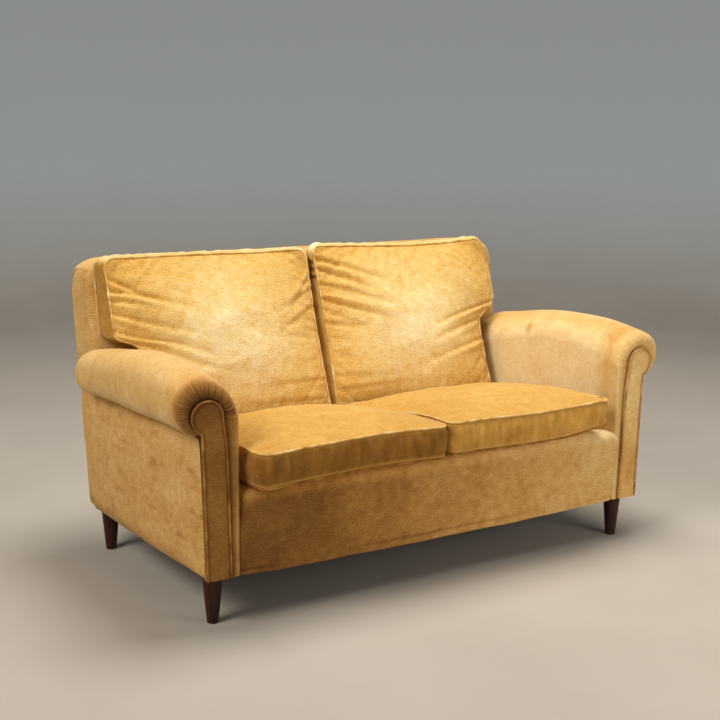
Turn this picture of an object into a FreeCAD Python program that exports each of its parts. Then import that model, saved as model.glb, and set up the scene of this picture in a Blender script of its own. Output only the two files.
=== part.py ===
"""Two-seat sofa with rolled arms, loose cushions and turned wooden legs.

Millimetres, +Z up, the front faces -Y. The origin is on the floor under the middle of the sofa.
Left is -X and right is +X, as seen from the front. Every size is driven by the sheet "Dims".
"""
import FreeCAD, Part
import math
import os
import re
import Sketcher

LEFT, RIGHT = -1, 1
SIDES = ((LEFT, "left"), (RIGHT, "right"))

# name, value, meaning. Heights are from the floor, half widths from the middle plane, and depths
# are measured to the rear from the plane of the arm fronts, which lies at Y = front_y.
DIMENSIONS = (
    ("front_y", -414, "Y of the plane of the arm fronts"),
    ("underside", 131, "height of the lowest edge of the upholstery, on top of the legs"),
    ("rail_bottom", 134, "underside of the seat rails"),
    ("rail_top", 304, "top of the seat rails"),
    ("deck_bottom", 307, "underside of the padded deck"),
    ("deck_top", 352, "top of the padded deck and of the front border"),
    ("strap_thick", 3, "thickness of the rubber webbing"),
    ("strap_wide", 50, "width of the rubber webbing"),
    ("rail_thick", 28, "thickness of the seat rails and arm posts"),
    ("arm_in", 632, "half width between the arms"),
    ("arm_wall", 33, "thickness of the inside arm padding"),
    ("block_in", 650, "inner face of the front blocks"),
    ("post_in", 670, "inner face of the back posts"),
    ("rail_in", 692, "inner face of the side rails"),
    ("rail_out", 720, "outer face of the frame"),
    ("border_out", 726, "outer face of the back borders"),
    ("panel_out", 732, "outer face of the outside arm panels"),
    ("roll_out", 800, "outermost point of the arm rolls"),
    ("facing_deep", 8, "thickness of the arm facings"),
    ("post_back", 36, "rear face of the arm posts"),
    ("front_rail_back", 64, "rear face of the front rail"),
    ("block_back", 106, "rear face of the front blocks"),
    ("centre_half", 25, "half width of the centre rail and of the back's centre post"),
    ("centre_deep", 40, "depth of the back's centre post"),
    ("low_rail_bottom", 330, "underside of the lower back rail"),
    ("low_rail_top", 390, "top of the lower back rail"),
    ("brace_tall", 100, "height of the corner braces and of the centre rail"),
    ("brace_front", 60, "width of a front corner brace"),
    ("brace_rear", 75, "length of each leg of a rear corner brace"),
    ("tack_tall", 25, "height of the tack rails"),
    ("strap_end", 10, "distance of the rear ends of the seat straps from the panel"),
    ("border_round", 25, "rounding of the top front edge of the front border"),
    ("dust_thick", 1.5, "thickness of the dust cover"),
    ("dust_edge", 2, "distance of the dust cover's sides from the outside of the frame"),
    ("facing_in", 657, "inner edge of the facing at the bottom"),
    ("facing_out", 726, "outer edge of the facing at the bottom"),
    ("head_x", 721, "middle of the facing's round head"),
    ("head_z", 547, "height of the middle of the round head"),
    ("head_r", 44, "radius of the round head"),
    ("stem_lean", 11, "how far the facing's inner edge moves out from its bottom to its head"),
    ("stem_lean_out", 5, "how far the facing's outer edge moves out below the neck"),
    ("stem_drop", 60, "distance of the stem's inner top corner below the head's middle"),
    ("neck_drop", 87, "distance of the neck below the head's middle"),
    ("arm_rail_bottom", 515, "underside of the arm top rails"),
    ("arm_rail_top", 555, "top of the arm top rails"),
    ("arm_panel_top", 482, "top of the outside arm panels"),
    ("rake", 0.155, "how far the back leans to the rear for each mm of height"),
    ("back_front", 605, "front of the back, carried down to the floor"),
    ("back_pad", 35, "thickness of the inside back padding"),
    ("back_panel", 744, "front of the outside back panel, carried down to the floor"),
    ("back_rear", 756, "rear of the back, carried down to the floor"),
    ("post_top", 790, "top of the back posts"),
    ("back_top", 853, "top of the back"),
    ("back_round", 55, "rounding of the top rear edge of the back"),
    ("leg_x", 685, "half width between the leg axes"),
    ("leg_front", 55, "depth of the front leg axes"),
    ("leg_rear", 721, "depth of the rear leg axes"),
    ("leg_foot_r", 15, "radius of a leg at the floor"),
    ("leg_top_r", 27, "radius of a leg at the top"),
    ("leg_chamfer", 2, "chamfer at the foot of a leg"),
    ("plate_side", 60, "side of a square leg plate"),
    ("bolt_r", 4, "radius of a hanger bolt"),
    ("bolt_half", 26, "length of a hanger bolt on each side of the leg top"),
    ("screw_pitch", 22, "screw distance from the leg axis, in X and in Y"),
    ("screw_long", 22, "length of a wood screw"),
    ("screw_head_r", 3.5, "radius of a wood screw's head"),
    ("screw_tip_r", 1.5, "radius of a wood screw's tip"),
    ("dowel_r", 5, "radius of a dowel"),
    ("dowel_half", 26, "length of a dowel on each side of its joint"),
    ("dowel_low", 180, "height of the lower dowels in the seat rails"),
    ("dowel_high", 260, "height of the upper dowels in the seat rails"),
    ("dowel_centre_low", 164, "height of the lower dowels in the centre rail"),
    ("dowel_centre_high", 204, "height of the upper dowels in the centre rail"),
    ("cover_thick", 4, "thickness of a cushion's cover"),
    ("piping_r", 3.5, "radius of the piping"),
    ("middle_gap", 8.5, "half the gap between two cushions, without their piping"),
    ("seat_side", 607, "outer side of a seat cushion"),
    ("seat_front", -45, "front face of a seat cushion"),
    ("seat_rear", 520, "rear face of a seat cushion"),
    ("seat_bottom", 353, "underside of a seat cushion"),
    ("seat_edge", 455, "height of a seat cushion at its top edge"),
    ("seat_crown", 490, "height of a seat cushion at its crown"),
    ("pillow_bottom", 361, "underside of a back cushion"),
    ("pillow_top", 861, "top of a back cushion"),
    ("pillow_side", 618, "side of a back cushion between the arms"),
    ("ear_side", 676, "side of a back cushion above the arms"),
    ("ear_low", 652, "height at which the ear leaves the side"),
    ("ear_tip", 684, "height of the ear's lower tip"),
    ("pillow_rear", 603, "rear of a back cushion, carried down to the floor"),
    ("pillow_front", 413, "front edges of a back cushion, carried down to the floor"),
    ("pillow_rake", 0.3376, "how far the front edges lean to the rear for each mm of height"),
    ("pillow_crown", 18, "how far a back cushion's face stands in front of its edges"),
    ("crown_scale", 0.62, "size of the crown's flat middle against the whole face"),
    ("zip_half", 200, "half the length of a zip"),
    ("zip_wide", 8, "width of a zip"),
    ("zip_thick", 3.6, "thickness of a zip"),
    ("zip_low", 400, "height of the lower edge of a seat cushion's zip"),
    ("zip_deep", 600, "depth of the front edge of a back cushion's zip"),
    ("piping_clear", 0.3, "gap between a cushion's cover and its piping"),
)
# Cross-sections of an arm roll: depth, radius, height of its middle
ARM_SECTIONS = (
    ("roll_a", 0, 64, 568),
    ("roll_b", 140, 82, 575),
    ("roll_c", 430, 81, 567),
    ("roll_d", 735, 59, 542),
)

doc = FreeCAD.newDocument("sofa")
sheet = doc.addObject("Spreadsheet::Sheet", "Dims")
aliases = set()


def set_dimension(name, value, meaning):
    row = len(aliases) + 1
    sheet.set(f"A{row}", meaning)
    sheet.set(f"B{row}", str(value))
    sheet.setAlias(f"B{row}", name)
    aliases.add(name)


for dimension in DIMENSIONS:
    set_dimension(*dimension)
for section, depth, radius, middle in ARM_SECTIONS:
    set_dimension(section + "_deep", depth, "depth of an arm section")
    set_dimension(section + "_radius", radius, "radius of the roll in that section")
    set_dimension(section + "_mid", middle, "height of the roll's middle in that section")
doc.recompute()


def formula(expression):
    """The same expression with every sheet alias written out in full."""
    return re.sub(
        r"[a-z]+(?:_[a-z]+)*",
        lambda word: "Dims." + word.group() if word.group() in aliases else word.group(),
        str(expression),
    )


def number(expression):
    return float(sheet.evalExpression(formula(expression)))


def bind(item, **expressions):
    for path, expression in expressions.items():
        item.setExpression(path.replace("__", "."), formula(expression))
    return item


def mirrored(side, low, high):
    """A span in X on the given side, lowest end first."""
    return (low, high) if side == RIGHT else (f"-({high})", f"-({low})")


def deep(expression):
    """Y at a depth behind the arm fronts."""
    return f"front_y + {expression}"


def raked(depth_at_floor, height):
    """Y at a height, on a plane that leans to the rear like the back."""
    return f"front_y + {depth_at_floor} + rake * ({height})"


# ---- building blocks ----------------------------------------------------------------------------


def block(name, x, y, z):
    item = doc.addObject("Part::Box", name)
    item.Label = name
    bind(item, Length=f"{x[1]} - ({x[0]})", Width=f"{y[1]} - ({y[0]})", Height=f"{z[1]} - ({z[0]})")
    bind(item, Placement__Base__x=x[0], Placement__Base__y=y[0], Placement__Base__z=z[0])
    return item


def rod(name, start, axis, long, foot_r, top_r):
    """A round bar along +X, +Y, -Y or +Z from start, tapering from foot_r to top_r."""
    item = doc.addObject("Part::Cone", name)
    item.Placement.Rotation = FreeCAD.Rotation(FreeCAD.Vector(0, 0, 1), FreeCAD.Vector(*axis))
    bind(item, Radius1=foot_r, Radius2=top_r, Height=long)
    bind(item, Placement__Base__x=start[0], Placement__Base__y=start[1], Placement__Base__z=start[2])
    return item


def dowel(name, start, axis, long, radius):
    item = doc.addObject("Part::Cylinder", name)
    item.Placement.Rotation = FreeCAD.Rotation(FreeCAD.Vector(0, 0, 1), FreeCAD.Vector(*axis))
    bind(item, Radius=radius, Height=long)
    bind(item, Placement__Base__x=start[0], Placement__Base__y=start[1], Placement__Base__z=start[2])
    return item


def group(name, items):
    item = doc.addObject("Part::Compound", name)
    item.Label = name
    item.Links = items
    return item


def merged(name, items):
    item = doc.addObject("Part::MultiFuse", name)
    item.Shapes = items
    return item


def cut(name, base, tool):
    item = doc.addObject("Part::Cut", name)
    item.Label = name
    item.Base = base
    item.Tool = tool
    return item


def draw(sketch, corners, closed=True):
    """Lines and arcs through corners (u, v), or (u, v, arc_u, arc_v) to reach the next by an arc.

    Every coordinate is an expression, and each one becomes a driving constraint.
    """
    spots = [FreeCAD.Vector(number(c[0]), number(c[1]), 0) for c in corners]
    starts, ends = [], []
    last = len(corners) if closed else len(corners) - 1
    for i in range(last):
        here, there = spots[i], spots[(i + 1) % len(corners)]
        if len(corners[i]) == 2:
            sketch.addGeometry(Part.LineSegment(here, there), False)
            forward = True
        else:
            via = FreeCAD.Vector(number(corners[i][2]), number(corners[i][3]), 0)
            curve = Part.Arc(here, via, there).toShape().Curve
            forward = (via - here).cross(there - via).z > 0
            centre = curve.Center
            first, second = (here, there) if forward else (there, here)
            angles = [math.atan2(p.y - centre.y, p.x - centre.x) for p in (first, second)]
            if angles[1] < angles[0]:
                angles[1] += 2 * math.pi
            circle = Part.Circle(centre, FreeCAD.Vector(0, 0, 1), curve.Radius)
            sketch.addGeometry(Part.ArcOfCircle(circle, *angles), False)
        starts.append(1 if forward else 2)
        ends.append(2 if forward else 1)
    for i in range(last):
        drive(sketch, i, starts[i], f"corner{i}", corners[i][0], corners[i][1])
        if i or closed:
            before = (i - 1) % last
            sketch.addConstraint(Sketcher.Constraint("Coincident", before, ends[before], i, starts[i]))
    if not closed:
        drive(sketch, last - 1, ends[last - 1], f"corner{last}", corners[last][0], corners[last][1])
    for i in range(last):
        if len(corners[i]) > 2:
            via = FreeCAD.Vector(number(corners[i][2]), number(corners[i][3]), 0)
            mark = sketch.addGeometry(Part.Point(via), True)
            sketch.addConstraint(Sketcher.Constraint("PointOnObject", mark, 1, i))
            drive(sketch, mark, 1, f"bulge{i}", corners[i][2], corners[i][3])


def drive(sketch, geometry, point, name, u, v):
    """Hold a point of the sketch at the expressions u and v."""
    for kind, letter, value in (("DistanceX", "u", u), ("DistanceY", "v", v)):
        index = sketch.addConstraint(Sketcher.Constraint(kind, geometry, point, number(value)))
        sketch.renameConstraint(index, name + letter)
        sketch.setExpression(f"Constraints.{name}{letter}", formula(value))


def body_sketch(body, name, plane, offset, corners):
    sketch = body.newObject("Sketcher::SketchObject", name)
    support = next(f for f in body.Origin.OriginFeatures if f.Role == plane)
    sketch.AttachmentSupport = [(support, "")]
    sketch.MapMode = "FlatFace"
    bind(sketch, AttachmentOffset__Base__z=offset)
    draw(sketch, corners)
    return sketch


def plate(name, plane, span, corners):
    """A body padded from one outline: across Y for XZ_Plane, X for YZ_Plane and Z for XY_Plane."""
    body = doc.addObject("PartDesign::Body", name)
    body.Label = name
    add_pad(body, name, plane, span, corners)
    return body


def add_pad(body, name, plane, span, corners):
    offset = f"-({span[1]})" if plane == "XZ_Plane" else span[0]
    sketch = body_sketch(body, name + "_outline", plane, offset, corners)
    pad = body.newObject("PartDesign::Pad", name + "_pad")
    pad.Profile = sketch
    bind(pad, Length=f"{span[1]} - ({span[0]})")
    sketch.Visibility = False


def raked_bar(name, x, depths, heights):
    """A bar across X whose front and rear faces lean like the back."""
    (near, far), (low, high) = depths, heights
    corners = [
        (raked(near, low), low),
        (raked(far, low), low),
        (raked(far, high), high),
        (raked(near, high), high),
    ]
    return plate(name, "YZ_Plane", x, corners)


# ---- legs ---------------------------------------------------------------------------------------

parts = []
LEGS = [(side, end, f"{end}_{word}_leg") for side, word in SIDES for end in ("front", "rear")]


def leg_axis(side, end):
    return f"{side} * leg_x", deep(f"leg_{end}")


def leg(name, side, end, bolt):
    body = doc.addObject("PartDesign::Body", name + "_turned")
    profile = [
        ("0", "0"),
        ("leg_foot_r - leg_chamfer", "0"),
        ("leg_foot_r", "leg_chamfer"),
        ("leg_top_r", "underside"),
        ("0", "underside"),
    ]
    sketch = body_sketch(body, name + "_profile", "XZ_Plane", "0", profile)
    turned = body.newObject("PartDesign::Revolution", name + "_revolution")
    turned.Profile = sketch
    turned.ReferenceAxis = (sketch, ["V_Axis"])
    turned.Angle = 360
    x, y = leg_axis(side, end)
    bind(body, Placement__Base__x=x, Placement__Base__y=y)
    return cut(name, body, bolt)


bolts, screws, plates = [], [], []
for side, end, name in LEGS:
    x, y = leg_axis(side, end)
    start = (x, y, "underside - bolt_half")
    bolts.append(dowel(name + "_bolt", start, (0, 0, 1), "2 * bolt_half", "bolt_r"))
    parts.append(leg(name, side, end, bolts[-1]))
    for i, (right, back) in enumerate(((-1, -1), (1, -1), (-1, 1), (1, 1))):
        start = (f"{x} + {right} * screw_pitch", f"{y} + {back} * screw_pitch", "underside")
        screws.append(
            rod(f"{name}_screw{i}", start, (0, 0, 1), "screw_long", "screw_head_r", "screw_tip_r")
        )
    span = (f"{x} - plate_side / 2", f"{x} + plate_side / 2")
    depth = (f"{y} - plate_side / 2", f"{y} + plate_side / 2")
    plates.append(block(name + "_plate", span, depth, ("underside", "rail_bottom")))

# ---- dowels and screws of the frame -------------------------------------------------------------

dowels = []


def add_dowel(x, y, z, axis):
    """A dowel centred on a joint face; it runs along X or Y."""
    if axis == "X":
        start, direction = (f"{x} - dowel_half", y, z), (1, 0, 0)
    else:
        start, direction = (x, f"{y} - dowel_half", z), (0, 1, 0)
    name = f"dowel{len(dowels)}"
    dowels.append(dowel(name, start, direction, "2 * dowel_half", "dowel_r"))


for side, word in SIDES:
    for height in ("dowel_low", "dowel_high"):
        add_dowel(f"{side} * block_in", deep("front_rail_back - rail_thick / 2"), height, "X")
        add_dowel(f"{side} * (rail_out - rail_thick / 2)", deep("block_back"), height, "Y")
        add_dowel(f"{side} * (rail_out - rail_thick / 2)", raked("back_front + back_pad", height),
                  height, "Y")
        add_dowel(f"{side} * post_in", raked("back_panel - rail_thick / 2", height), height, "X")
        start = (f"{side} * leg_x", deep("facing_deep"), height)
        screws.append(rod(f"{word}_{height}_screw", start, (0, 1, 0), "2 * screw_long",
                          "screw_head_r", "screw_tip_r"))
    for depth in ("(back_front + back_panel) / 2", "back_panel - rail_thick / 2"):
        add_dowel(f"{side} * post_in", raked(depth, "post_top - rail_thick / 2"),
                  "post_top - rail_thick / 2", "X")
    low_middle = "(low_rail_bottom + low_rail_top) / 2"
    add_dowel(f"{side} * post_in", raked("back_front + back_pad + rail_thick / 2", low_middle),
              low_middle, "X")
    middle = "(arm_rail_bottom + arm_rail_top) / 2"
    add_dowel(f"{side} * (rail_out - rail_thick / 2)", raked("back_front + back_pad", middle),
              middle, "Y")
    start = (f"{side} * (rail_out - rail_thick / 2)", deep("facing_deep"), middle)
    screws.append(rod(f"{word}_arm_screw", start, (0, 1, 0), "2 * screw_long",
                      "screw_head_r", "screw_tip_r"))
for height in ("dowel_centre_low", "dowel_centre_high"):
    add_dowel("0", deep("front_rail_back"), height, "Y")
    add_dowel("0", raked("back_panel - rail_thick", height), height, "Y")

frame_dowels = group("frame_dowels", dowels)
wood_screws = group("wood_screws", screws)
leg_bolts = group("leg_bolts", bolts)
fixings = group("fixings", dowels + screws + bolts)
plate_blanks = group("plate_blanks", plates)
leg_plates = cut("leg_plates", plate_blanks, group("plate_fixings", screws + bolts))
parts += [frame_dowels, wood_screws, leg_bolts, leg_plates]

# ---- wooden frame -------------------------------------------------------------------------------


def member(name, blank):
    """A finished frame member: its blank, drilled for every dowel, screw and bolt that meets it."""
    finished = cut(name, blank, fixings)
    blank.Label = name + "_blank"
    parts.append(finished)
    return finished


RAIL_HEIGHTS = ("rail_bottom", "rail_top")


def facing_outline(side, bottom):
    """The walking-stick outline of an arm front: a stem with a round head, leaning outwards."""
    stem = f"({bottom} - underside) / (head_z - underside - stem_drop)"
    return [
        (f"{side} * (facing_in + stem_lean * {stem})", bottom),
        (f"{side} * (facing_in + stem_lean)", "head_z - stem_drop"),
        (f"{side} * (head_x - head_r)", "head_z",
         f"{side} * (head_x + head_r * cos(45))", "head_z + head_r * sin(45)"),
        (f"{side} * (head_x + head_r / 3)", "head_z - head_r * sqrt(8) / 3"),
        (f"{side} * (facing_out + stem_lean_out)", "head_z - neck_drop"),
        (f"{side} * facing_out", bottom),
    ]


member("front_seat_rail", block(
    "front_rail_blank", ("-block_in", "block_in"),
    (deep("front_rail_back - rail_thick"), deep("front_rail_back")), RAIL_HEIGHTS))
member("rear_seat_rail", raked_bar(
    "rear_rail_blank", ("-post_in", "post_in"),
    ("back_panel - rail_thick", "back_panel"), RAIL_HEIGHTS))
centre_top = "rail_bottom + brace_tall"
member("centre_seat_rail", plate("centre_rail_blank", "YZ_Plane", ("-centre_half", "centre_half"), [
    (deep("front_rail_back"), "rail_bottom"),
    (raked("back_panel - rail_thick", "rail_bottom"), "rail_bottom"),
    (raked("back_panel - rail_thick", centre_top), centre_top),
    (deep("front_rail_back"), centre_top),
]))
member("back_top_rail", raked_bar(
    "top_rail_blank", ("-post_in", "post_in"),
    ("back_front + back_pad + strap_thick", "back_panel"), ("post_top - rail_thick", "post_top")))
member("back_lower_rail", raked_bar(
    "lower_rail_blank", ("-post_in", "post_in"),
    ("back_front + back_pad + strap_thick", "back_front + back_pad + strap_thick + rail_thick"),
    ("low_rail_bottom", "low_rail_top")))
member("back_centre_post", raked_bar(
    "centre_post_blank", ("-centre_half", "centre_half"), ("back_panel - centre_deep", "back_panel"),
    ("rail_top", "post_top - rail_thick")))

arm_rail_blanks = {}
tack_rails, braces = [], []
for side, word in SIDES:
    rail_x = mirrored(side, "rail_in", "rail_out")
    member(f"{word}_front_block", block(
        f"{word}_block_blank", mirrored(side, "block_in", "rail_out"),
        (deep("post_back"), deep("block_back")), RAIL_HEIGHTS))
    member(f"{word}_side_rail", plate(f"{word}_side_rail_blank", "YZ_Plane", rail_x, [
        (deep("block_back"), "rail_bottom"),
        (raked("back_front + back_pad", "rail_bottom"), "rail_bottom"),
        (raked("back_front + back_pad", "rail_top"), "rail_top"),
        (deep("block_back"), "rail_top"),
    ]))
    member(f"{word}_back_post", raked_bar(
        f"{word}_back_post_blank", mirrored(side, "post_in", "rail_out"),
        ("back_front + back_pad", "back_panel"), ("rail_bottom", "post_top")))
    member(f"{word}_arm_post", plate(
        f"{word}_arm_post_blank", "XZ_Plane", (deep("facing_deep"), deep("post_back")),
        facing_outline(side, "rail_bottom")))
    arm_rail_blanks[side] = plate(f"{word}_arm_rail_blank", "YZ_Plane", rail_x, [
        (deep("post_back"), "arm_rail_bottom"),
        (raked("back_front + back_pad", "arm_rail_bottom"), "arm_rail_bottom"),
        (raked("back_front + back_pad", "arm_rail_top"), "arm_rail_top"),
        (deep("post_back"), "arm_rail_top"),
    ])
    member(f"{word}_arm_rail", arm_rail_blanks[side])
    tack_rails.append(block(
        f"{word}_tack_rail", mirrored(side, "arm_in + arm_wall", "rail_out"),
        (deep("post_back"), raked("back_front", "rail_top")), ("rail_top", "rail_top + tack_tall")))
    braces.append(plate(f"{word}_front_brace", "XY_Plane", ("rail_bottom", centre_top), [
        (f"{side} * block_in", deep("front_rail_back")),
        (f"{side} * (block_in - brace_front)", deep("front_rail_back")),
        (f"{side} * block_in", deep("block_back")),
    ]))
    brace_back = raked("back_panel - rail_thick", "rail_bottom")
    braces.append(plate(f"{word}_rear_brace", "XY_Plane", ("rail_bottom", centre_top), [
        (f"{side} * post_in", brace_back),
        (f"{side} * (post_in - brace_rear)", brace_back),
        (f"{side} * post_in", f"{brace_back} - brace_rear"),
    ]))
parts.append(group("tack_rails", tack_rails))
member("corner_braces", group("brace_blanks", braces))

# ---- webbing, deck, border and dust cover -------------------------------------------------------


def seat_strap(i, x):
    return block(
        f"seat_strap{i}", (f"{x} - strap_wide / 2", f"{x} + strap_wide / 2"),
        (deep("front_rail_back - rail_thick"), raked("back_panel - strap_end", "rail_top")),
        ("rail_top", "rail_top + strap_thick"))


STRAP_COUNT = 10
STRAP_PITCH = 120
strap_places = [STRAP_PITCH * (i - (STRAP_COUNT - 1) / 2) for i in range(STRAP_COUNT)]
parts.append(group("seat_straps", [seat_strap(i, x) for i, x in enumerate(strap_places)]))
parts.append(group("back_straps", [
    raked_bar(f"back_strap{i}", (f"{x} - strap_wide / 2", f"{x} + strap_wide / 2"),
              ("back_front + back_pad", "back_front + back_pad + strap_thick"),
              ("low_rail_bottom", "post_top"))
    for i, x in enumerate(strap_places)
]))
parts.append(block(
    "seat_deck_pad", ("-arm_in", "arm_in"),
    (deep("front_rail_back"), raked("back_front", "rail_top")), ("deck_bottom", "deck_top")))
parts.append(plate("front_border", "YZ_Plane", ("-arm_in", "arm_in"), [
    (deep("0"), "underside"),
    (deep("front_rail_back - rail_thick"), "underside"),
    (deep("front_rail_back - rail_thick"), "rail_top + strap_thick"),
    (deep("front_rail_back"), "rail_top + strap_thick"),
    (deep("front_rail_back"), "deck_top"),
    (deep("border_round"), "deck_top",
     deep("border_round * (1 - cos(45))"), "deck_top - border_round * (1 - cos(45))"),
    (deep("0"), "deck_top - border_round"),
]))
dust_blank = block(
    "dust_blank", ("-(rail_out - dust_edge)", "rail_out - dust_edge"),
    (deep("post_back + dust_edge / 2"), deep("back_rear")), ("rail_bottom - dust_thick", "rail_bottom"))
parts.append(cut("dust_cover", dust_blank, plate_blanks))

# ---- arms ---------------------------------------------------------------------------------------


def roll_outline(side, section):
    """The padding of an arm, cut across: an inside wall with the roll on top."""
    radius, middle = section + "_radius", section + "_mid"
    wall = "arm_in + arm_wall"
    shoulder = f"(roll_out - {radius} - arm_in)"
    spring = f"{middle} + {radius} - {shoulder}"
    return [
        (f"{side} * arm_in", "rail_top"),
        (f"{side} * arm_in", spring,
         f"{side} * (arm_in + {shoulder} * (1 - cos(45)))", f"{spring} + {shoulder} * sin(45)"),
        (f"{side} * (roll_out - {radius})", f"{middle} + {radius}",
         f"{side} * roll_out", middle),
        (f"{side} * (roll_out - {radius})", f"{middle} - {radius}"),
        (f"{side} * ({wall})", f"{middle} - {radius}"),
        (f"{side} * ({wall})", "rail_top"),
    ]


def arm_blank(side, word):
    body = doc.addObject("PartDesign::Body", f"{word}_arm_blank")
    sketches = []
    for section, _, _, _ in ARM_SECTIONS:
        name = f"{word}_{section}"
        offset = f"-({deep(section + '_deep')})"
        sketches.append(body_sketch(body, name, "XZ_Plane", offset, roll_outline(side, section)))
    roll = body.newObject("PartDesign::AdditiveLoft", f"{word}_roll")
    roll.Profile = sketches[0]
    roll.Sections = sketches[1:]
    roll.Ruled = True
    add_pad(body, f"{word}_band", "XZ_Plane", (deep("0"), deep("post_back")), [
        (f"{side} * arm_in", "underside"),
        (f"{side} * (arm_in + arm_wall)", "underside"),
        (f"{side} * (arm_in + arm_wall)", "rail_top"),
        (f"{side} * arm_in", "rail_top"),
    ])
    return body


def behind_the_back(side, word):
    """All the space behind the front plane of the back, over the whole height of an arm."""
    return raked_bar(f"{word}_back_space", mirrored(side, "seat_side", "roll_out + arm_wall"),
                     ("back_front", "back_front + back_panel"), ("rail_bottom", "post_top"))


for side, word in SIDES:
    facing = plate(f"{word}_arm_facing", "XZ_Plane", (deep("0"), deep("facing_deep")),
                   facing_outline(side, "underside"))
    recess = plate(f"{word}_recess", "XZ_Plane", (deep("-5"), deep("post_back")),
                   facing_outline(side, "underside"))
    inside = merged(f"{word}_arm_inside", [
        recess, arm_rail_blanks[side], behind_the_back(side, word), plate_blanks])
    parts.append(cut(f"{word}_arm_pad", arm_blank(side, word), inside))
    parts.append(facing)

    route = doc.addObject("Sketcher::SketchObject", f"{word}_welt_route")
    route.Placement.Rotation = FreeCAD.Rotation(FreeCAD.Vector(1, 0, 0), 90)
    bind(route, Placement__Base__y=deep("-(piping_r + piping_clear)"))
    draw(route, facing_outline(side, "underside"), closed=False)
    ring = doc.addObject("Part::Circle", f"{word}_welt_ring")
    bind(ring, Radius="piping_r", Placement__Base__x=f"{side} * facing_in",
         Placement__Base__y=deep("-(piping_r + piping_clear)"), Placement__Base__z="underside")
    welt = doc.addObject("Part::Sweep", f"{word}_arm_welt")
    welt.Label = f"{word}_arm_welt"
    welt.Sections = [ring]
    welt.Spine = route
    welt.Solid = True
    welt.Transition = "Round corner"
    parts.append(welt)

    panel = plate(f"{word}_outside_arm", "YZ_Plane", mirrored(side, "rail_out", "panel_out"), [
        (deep("post_back"), "underside"),
        (raked("back_rear", "underside"), "underside"),
        (raked("back_rear", "arm_panel_top"), "arm_panel_top"),
        (deep("post_back"), "arm_panel_top"),
    ])
    parts.append(panel)

# ---- back ---------------------------------------------------------------------------------------


def top_curve():
    """The rounded top rear edge of the back, from its top face down to its rear face."""
    return (
        raked("back_rear - back_round", "back_top"), "back_top",
        raked("back_rear - back_round * (1 - cos(45))", "back_top - back_round * (1 - sin(45))"),
        "back_top - back_round * (1 - sin(45))",
    )


back_pad_blank = plate("back_pad_blank", "YZ_Plane", ("-rail_out", "rail_out"), [
    (raked("back_front", "deck_bottom"), "deck_bottom"),
    (raked("back_front", "back_top"), "back_top"),
    top_curve(),
    (raked("back_rear", "back_top - back_round"), "back_top - back_round"),
    (raked("back_rear", "post_top"), "post_top"),
    (raked("back_front + back_pad", "post_top"), "post_top"),
    (raked("back_front + back_pad", "deck_bottom"), "deck_bottom"),
])
parts.append(cut("inside_back_pad", back_pad_blank, group("rail_ends", list(arm_rail_blanks.values()))))
parts.append(raked_bar(
    "outside_back_panel", ("-rail_out", "rail_out"), ("back_panel", "back_rear"),
    ("underside", "post_top")))
for side, word in SIDES:
    parts.append(plate(f"{word}_back_border", "YZ_Plane", mirrored(side, "rail_out", "border_out"), [
        (raked("back_front", "arm_panel_top"), "arm_panel_top"),
        (raked("back_front", "back_top"), "back_top"),
        top_curve(),
        (raked("back_rear", "back_top - back_round"), "back_top - back_round"),
        (raked("back_rear", "arm_panel_top"), "arm_panel_top"),
    ]))

# ---- cushions -----------------------------------------------------------------------------------


def free_sketch(name, corners, y, z, tilt):
    """A sketch whose first axis is X and whose second is tilted from Y (0) up towards Z (90)."""
    sketch = doc.addObject("Sketcher::SketchObject", name)
    sketch.Placement.Rotation = FreeCAD.Rotation(FreeCAD.Vector(1, 0, 0), number(tilt))
    bind(sketch, Placement__Base__y=y, Placement__Base__z=z)
    bind(sketch, Placement__Rotation__Angle=tilt)
    draw(sketch, corners)
    return sketch


def inset(corners, amount):
    """Move each corner (u, v, towards_u, towards_v) inwards by an amount."""
    return [(f"{u} + {su} * ({amount})", f"{v} + {sv} * ({amount})") for u, v, su, sv in corners]


def shrunk(corners, scale, centre):
    return [
        (f"{centre[0]} + ({u} - ({centre[0]})) * {scale}", f"{centre[1]} + ({v} - ({centre[1]})) * {scale}")
        for u, v in corners
    ]


def loft(name, sketches):
    item = doc.addObject("Part::Loft", name)
    item.Label = name
    item.Sections = sketches
    item.Solid = True
    item.Ruled = True
    return item


def piping(name, corners, y, z, tilt):
    """A ring of piping along an outline."""
    route = free_sketch(name + "_route", corners, y, z, tilt)
    ring = doc.addObject("Part::Circle", name + "_ring")
    bind(ring, Radius="piping_r")
    start = FreeCAD.Vector((number(corners[0][0]) + number(corners[1][0])) / 2, number(corners[0][1]), 0)
    doc.recompute()
    ring.Placement = FreeCAD.Placement(
        route.Placement.multVec(start), FreeCAD.Rotation(FreeCAD.Vector(0, 0, 1), FreeCAD.Vector(1, 0, 0)))
    sweep = doc.addObject("Part::Sweep", name)
    sweep.Sections = [ring]
    sweep.Spine = route
    sweep.Solid = True
    sweep.Transition = "Round corner"
    return sweep


def seat_sections(side, amount):
    """Underside, top edge and crown of a seat cushion, inset by an amount."""
    outline = [
        (f"{side} * middle_gap", "front_y + seat_front", side, 1),
        (f"{side} * seat_side", "front_y + seat_front", -side, 1),
        (f"{side} * seat_side", "front_y + seat_rear", -side, -1),
        (f"{side} * middle_gap", "front_y + seat_rear", side, -1),
    ]
    centre = (f"{side} * (middle_gap + seat_side) / 2", "front_y + (seat_front + seat_rear) / 2")
    edge = inset(outline, amount)
    return [
        (edge, "0", f"seat_bottom + {amount}", "0"),
        (edge, "0", "seat_edge", "0"),
        (shrunk(edge, "crown_scale", centre), "0", f"seat_crown - {amount}", "0"),
    ]


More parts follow.
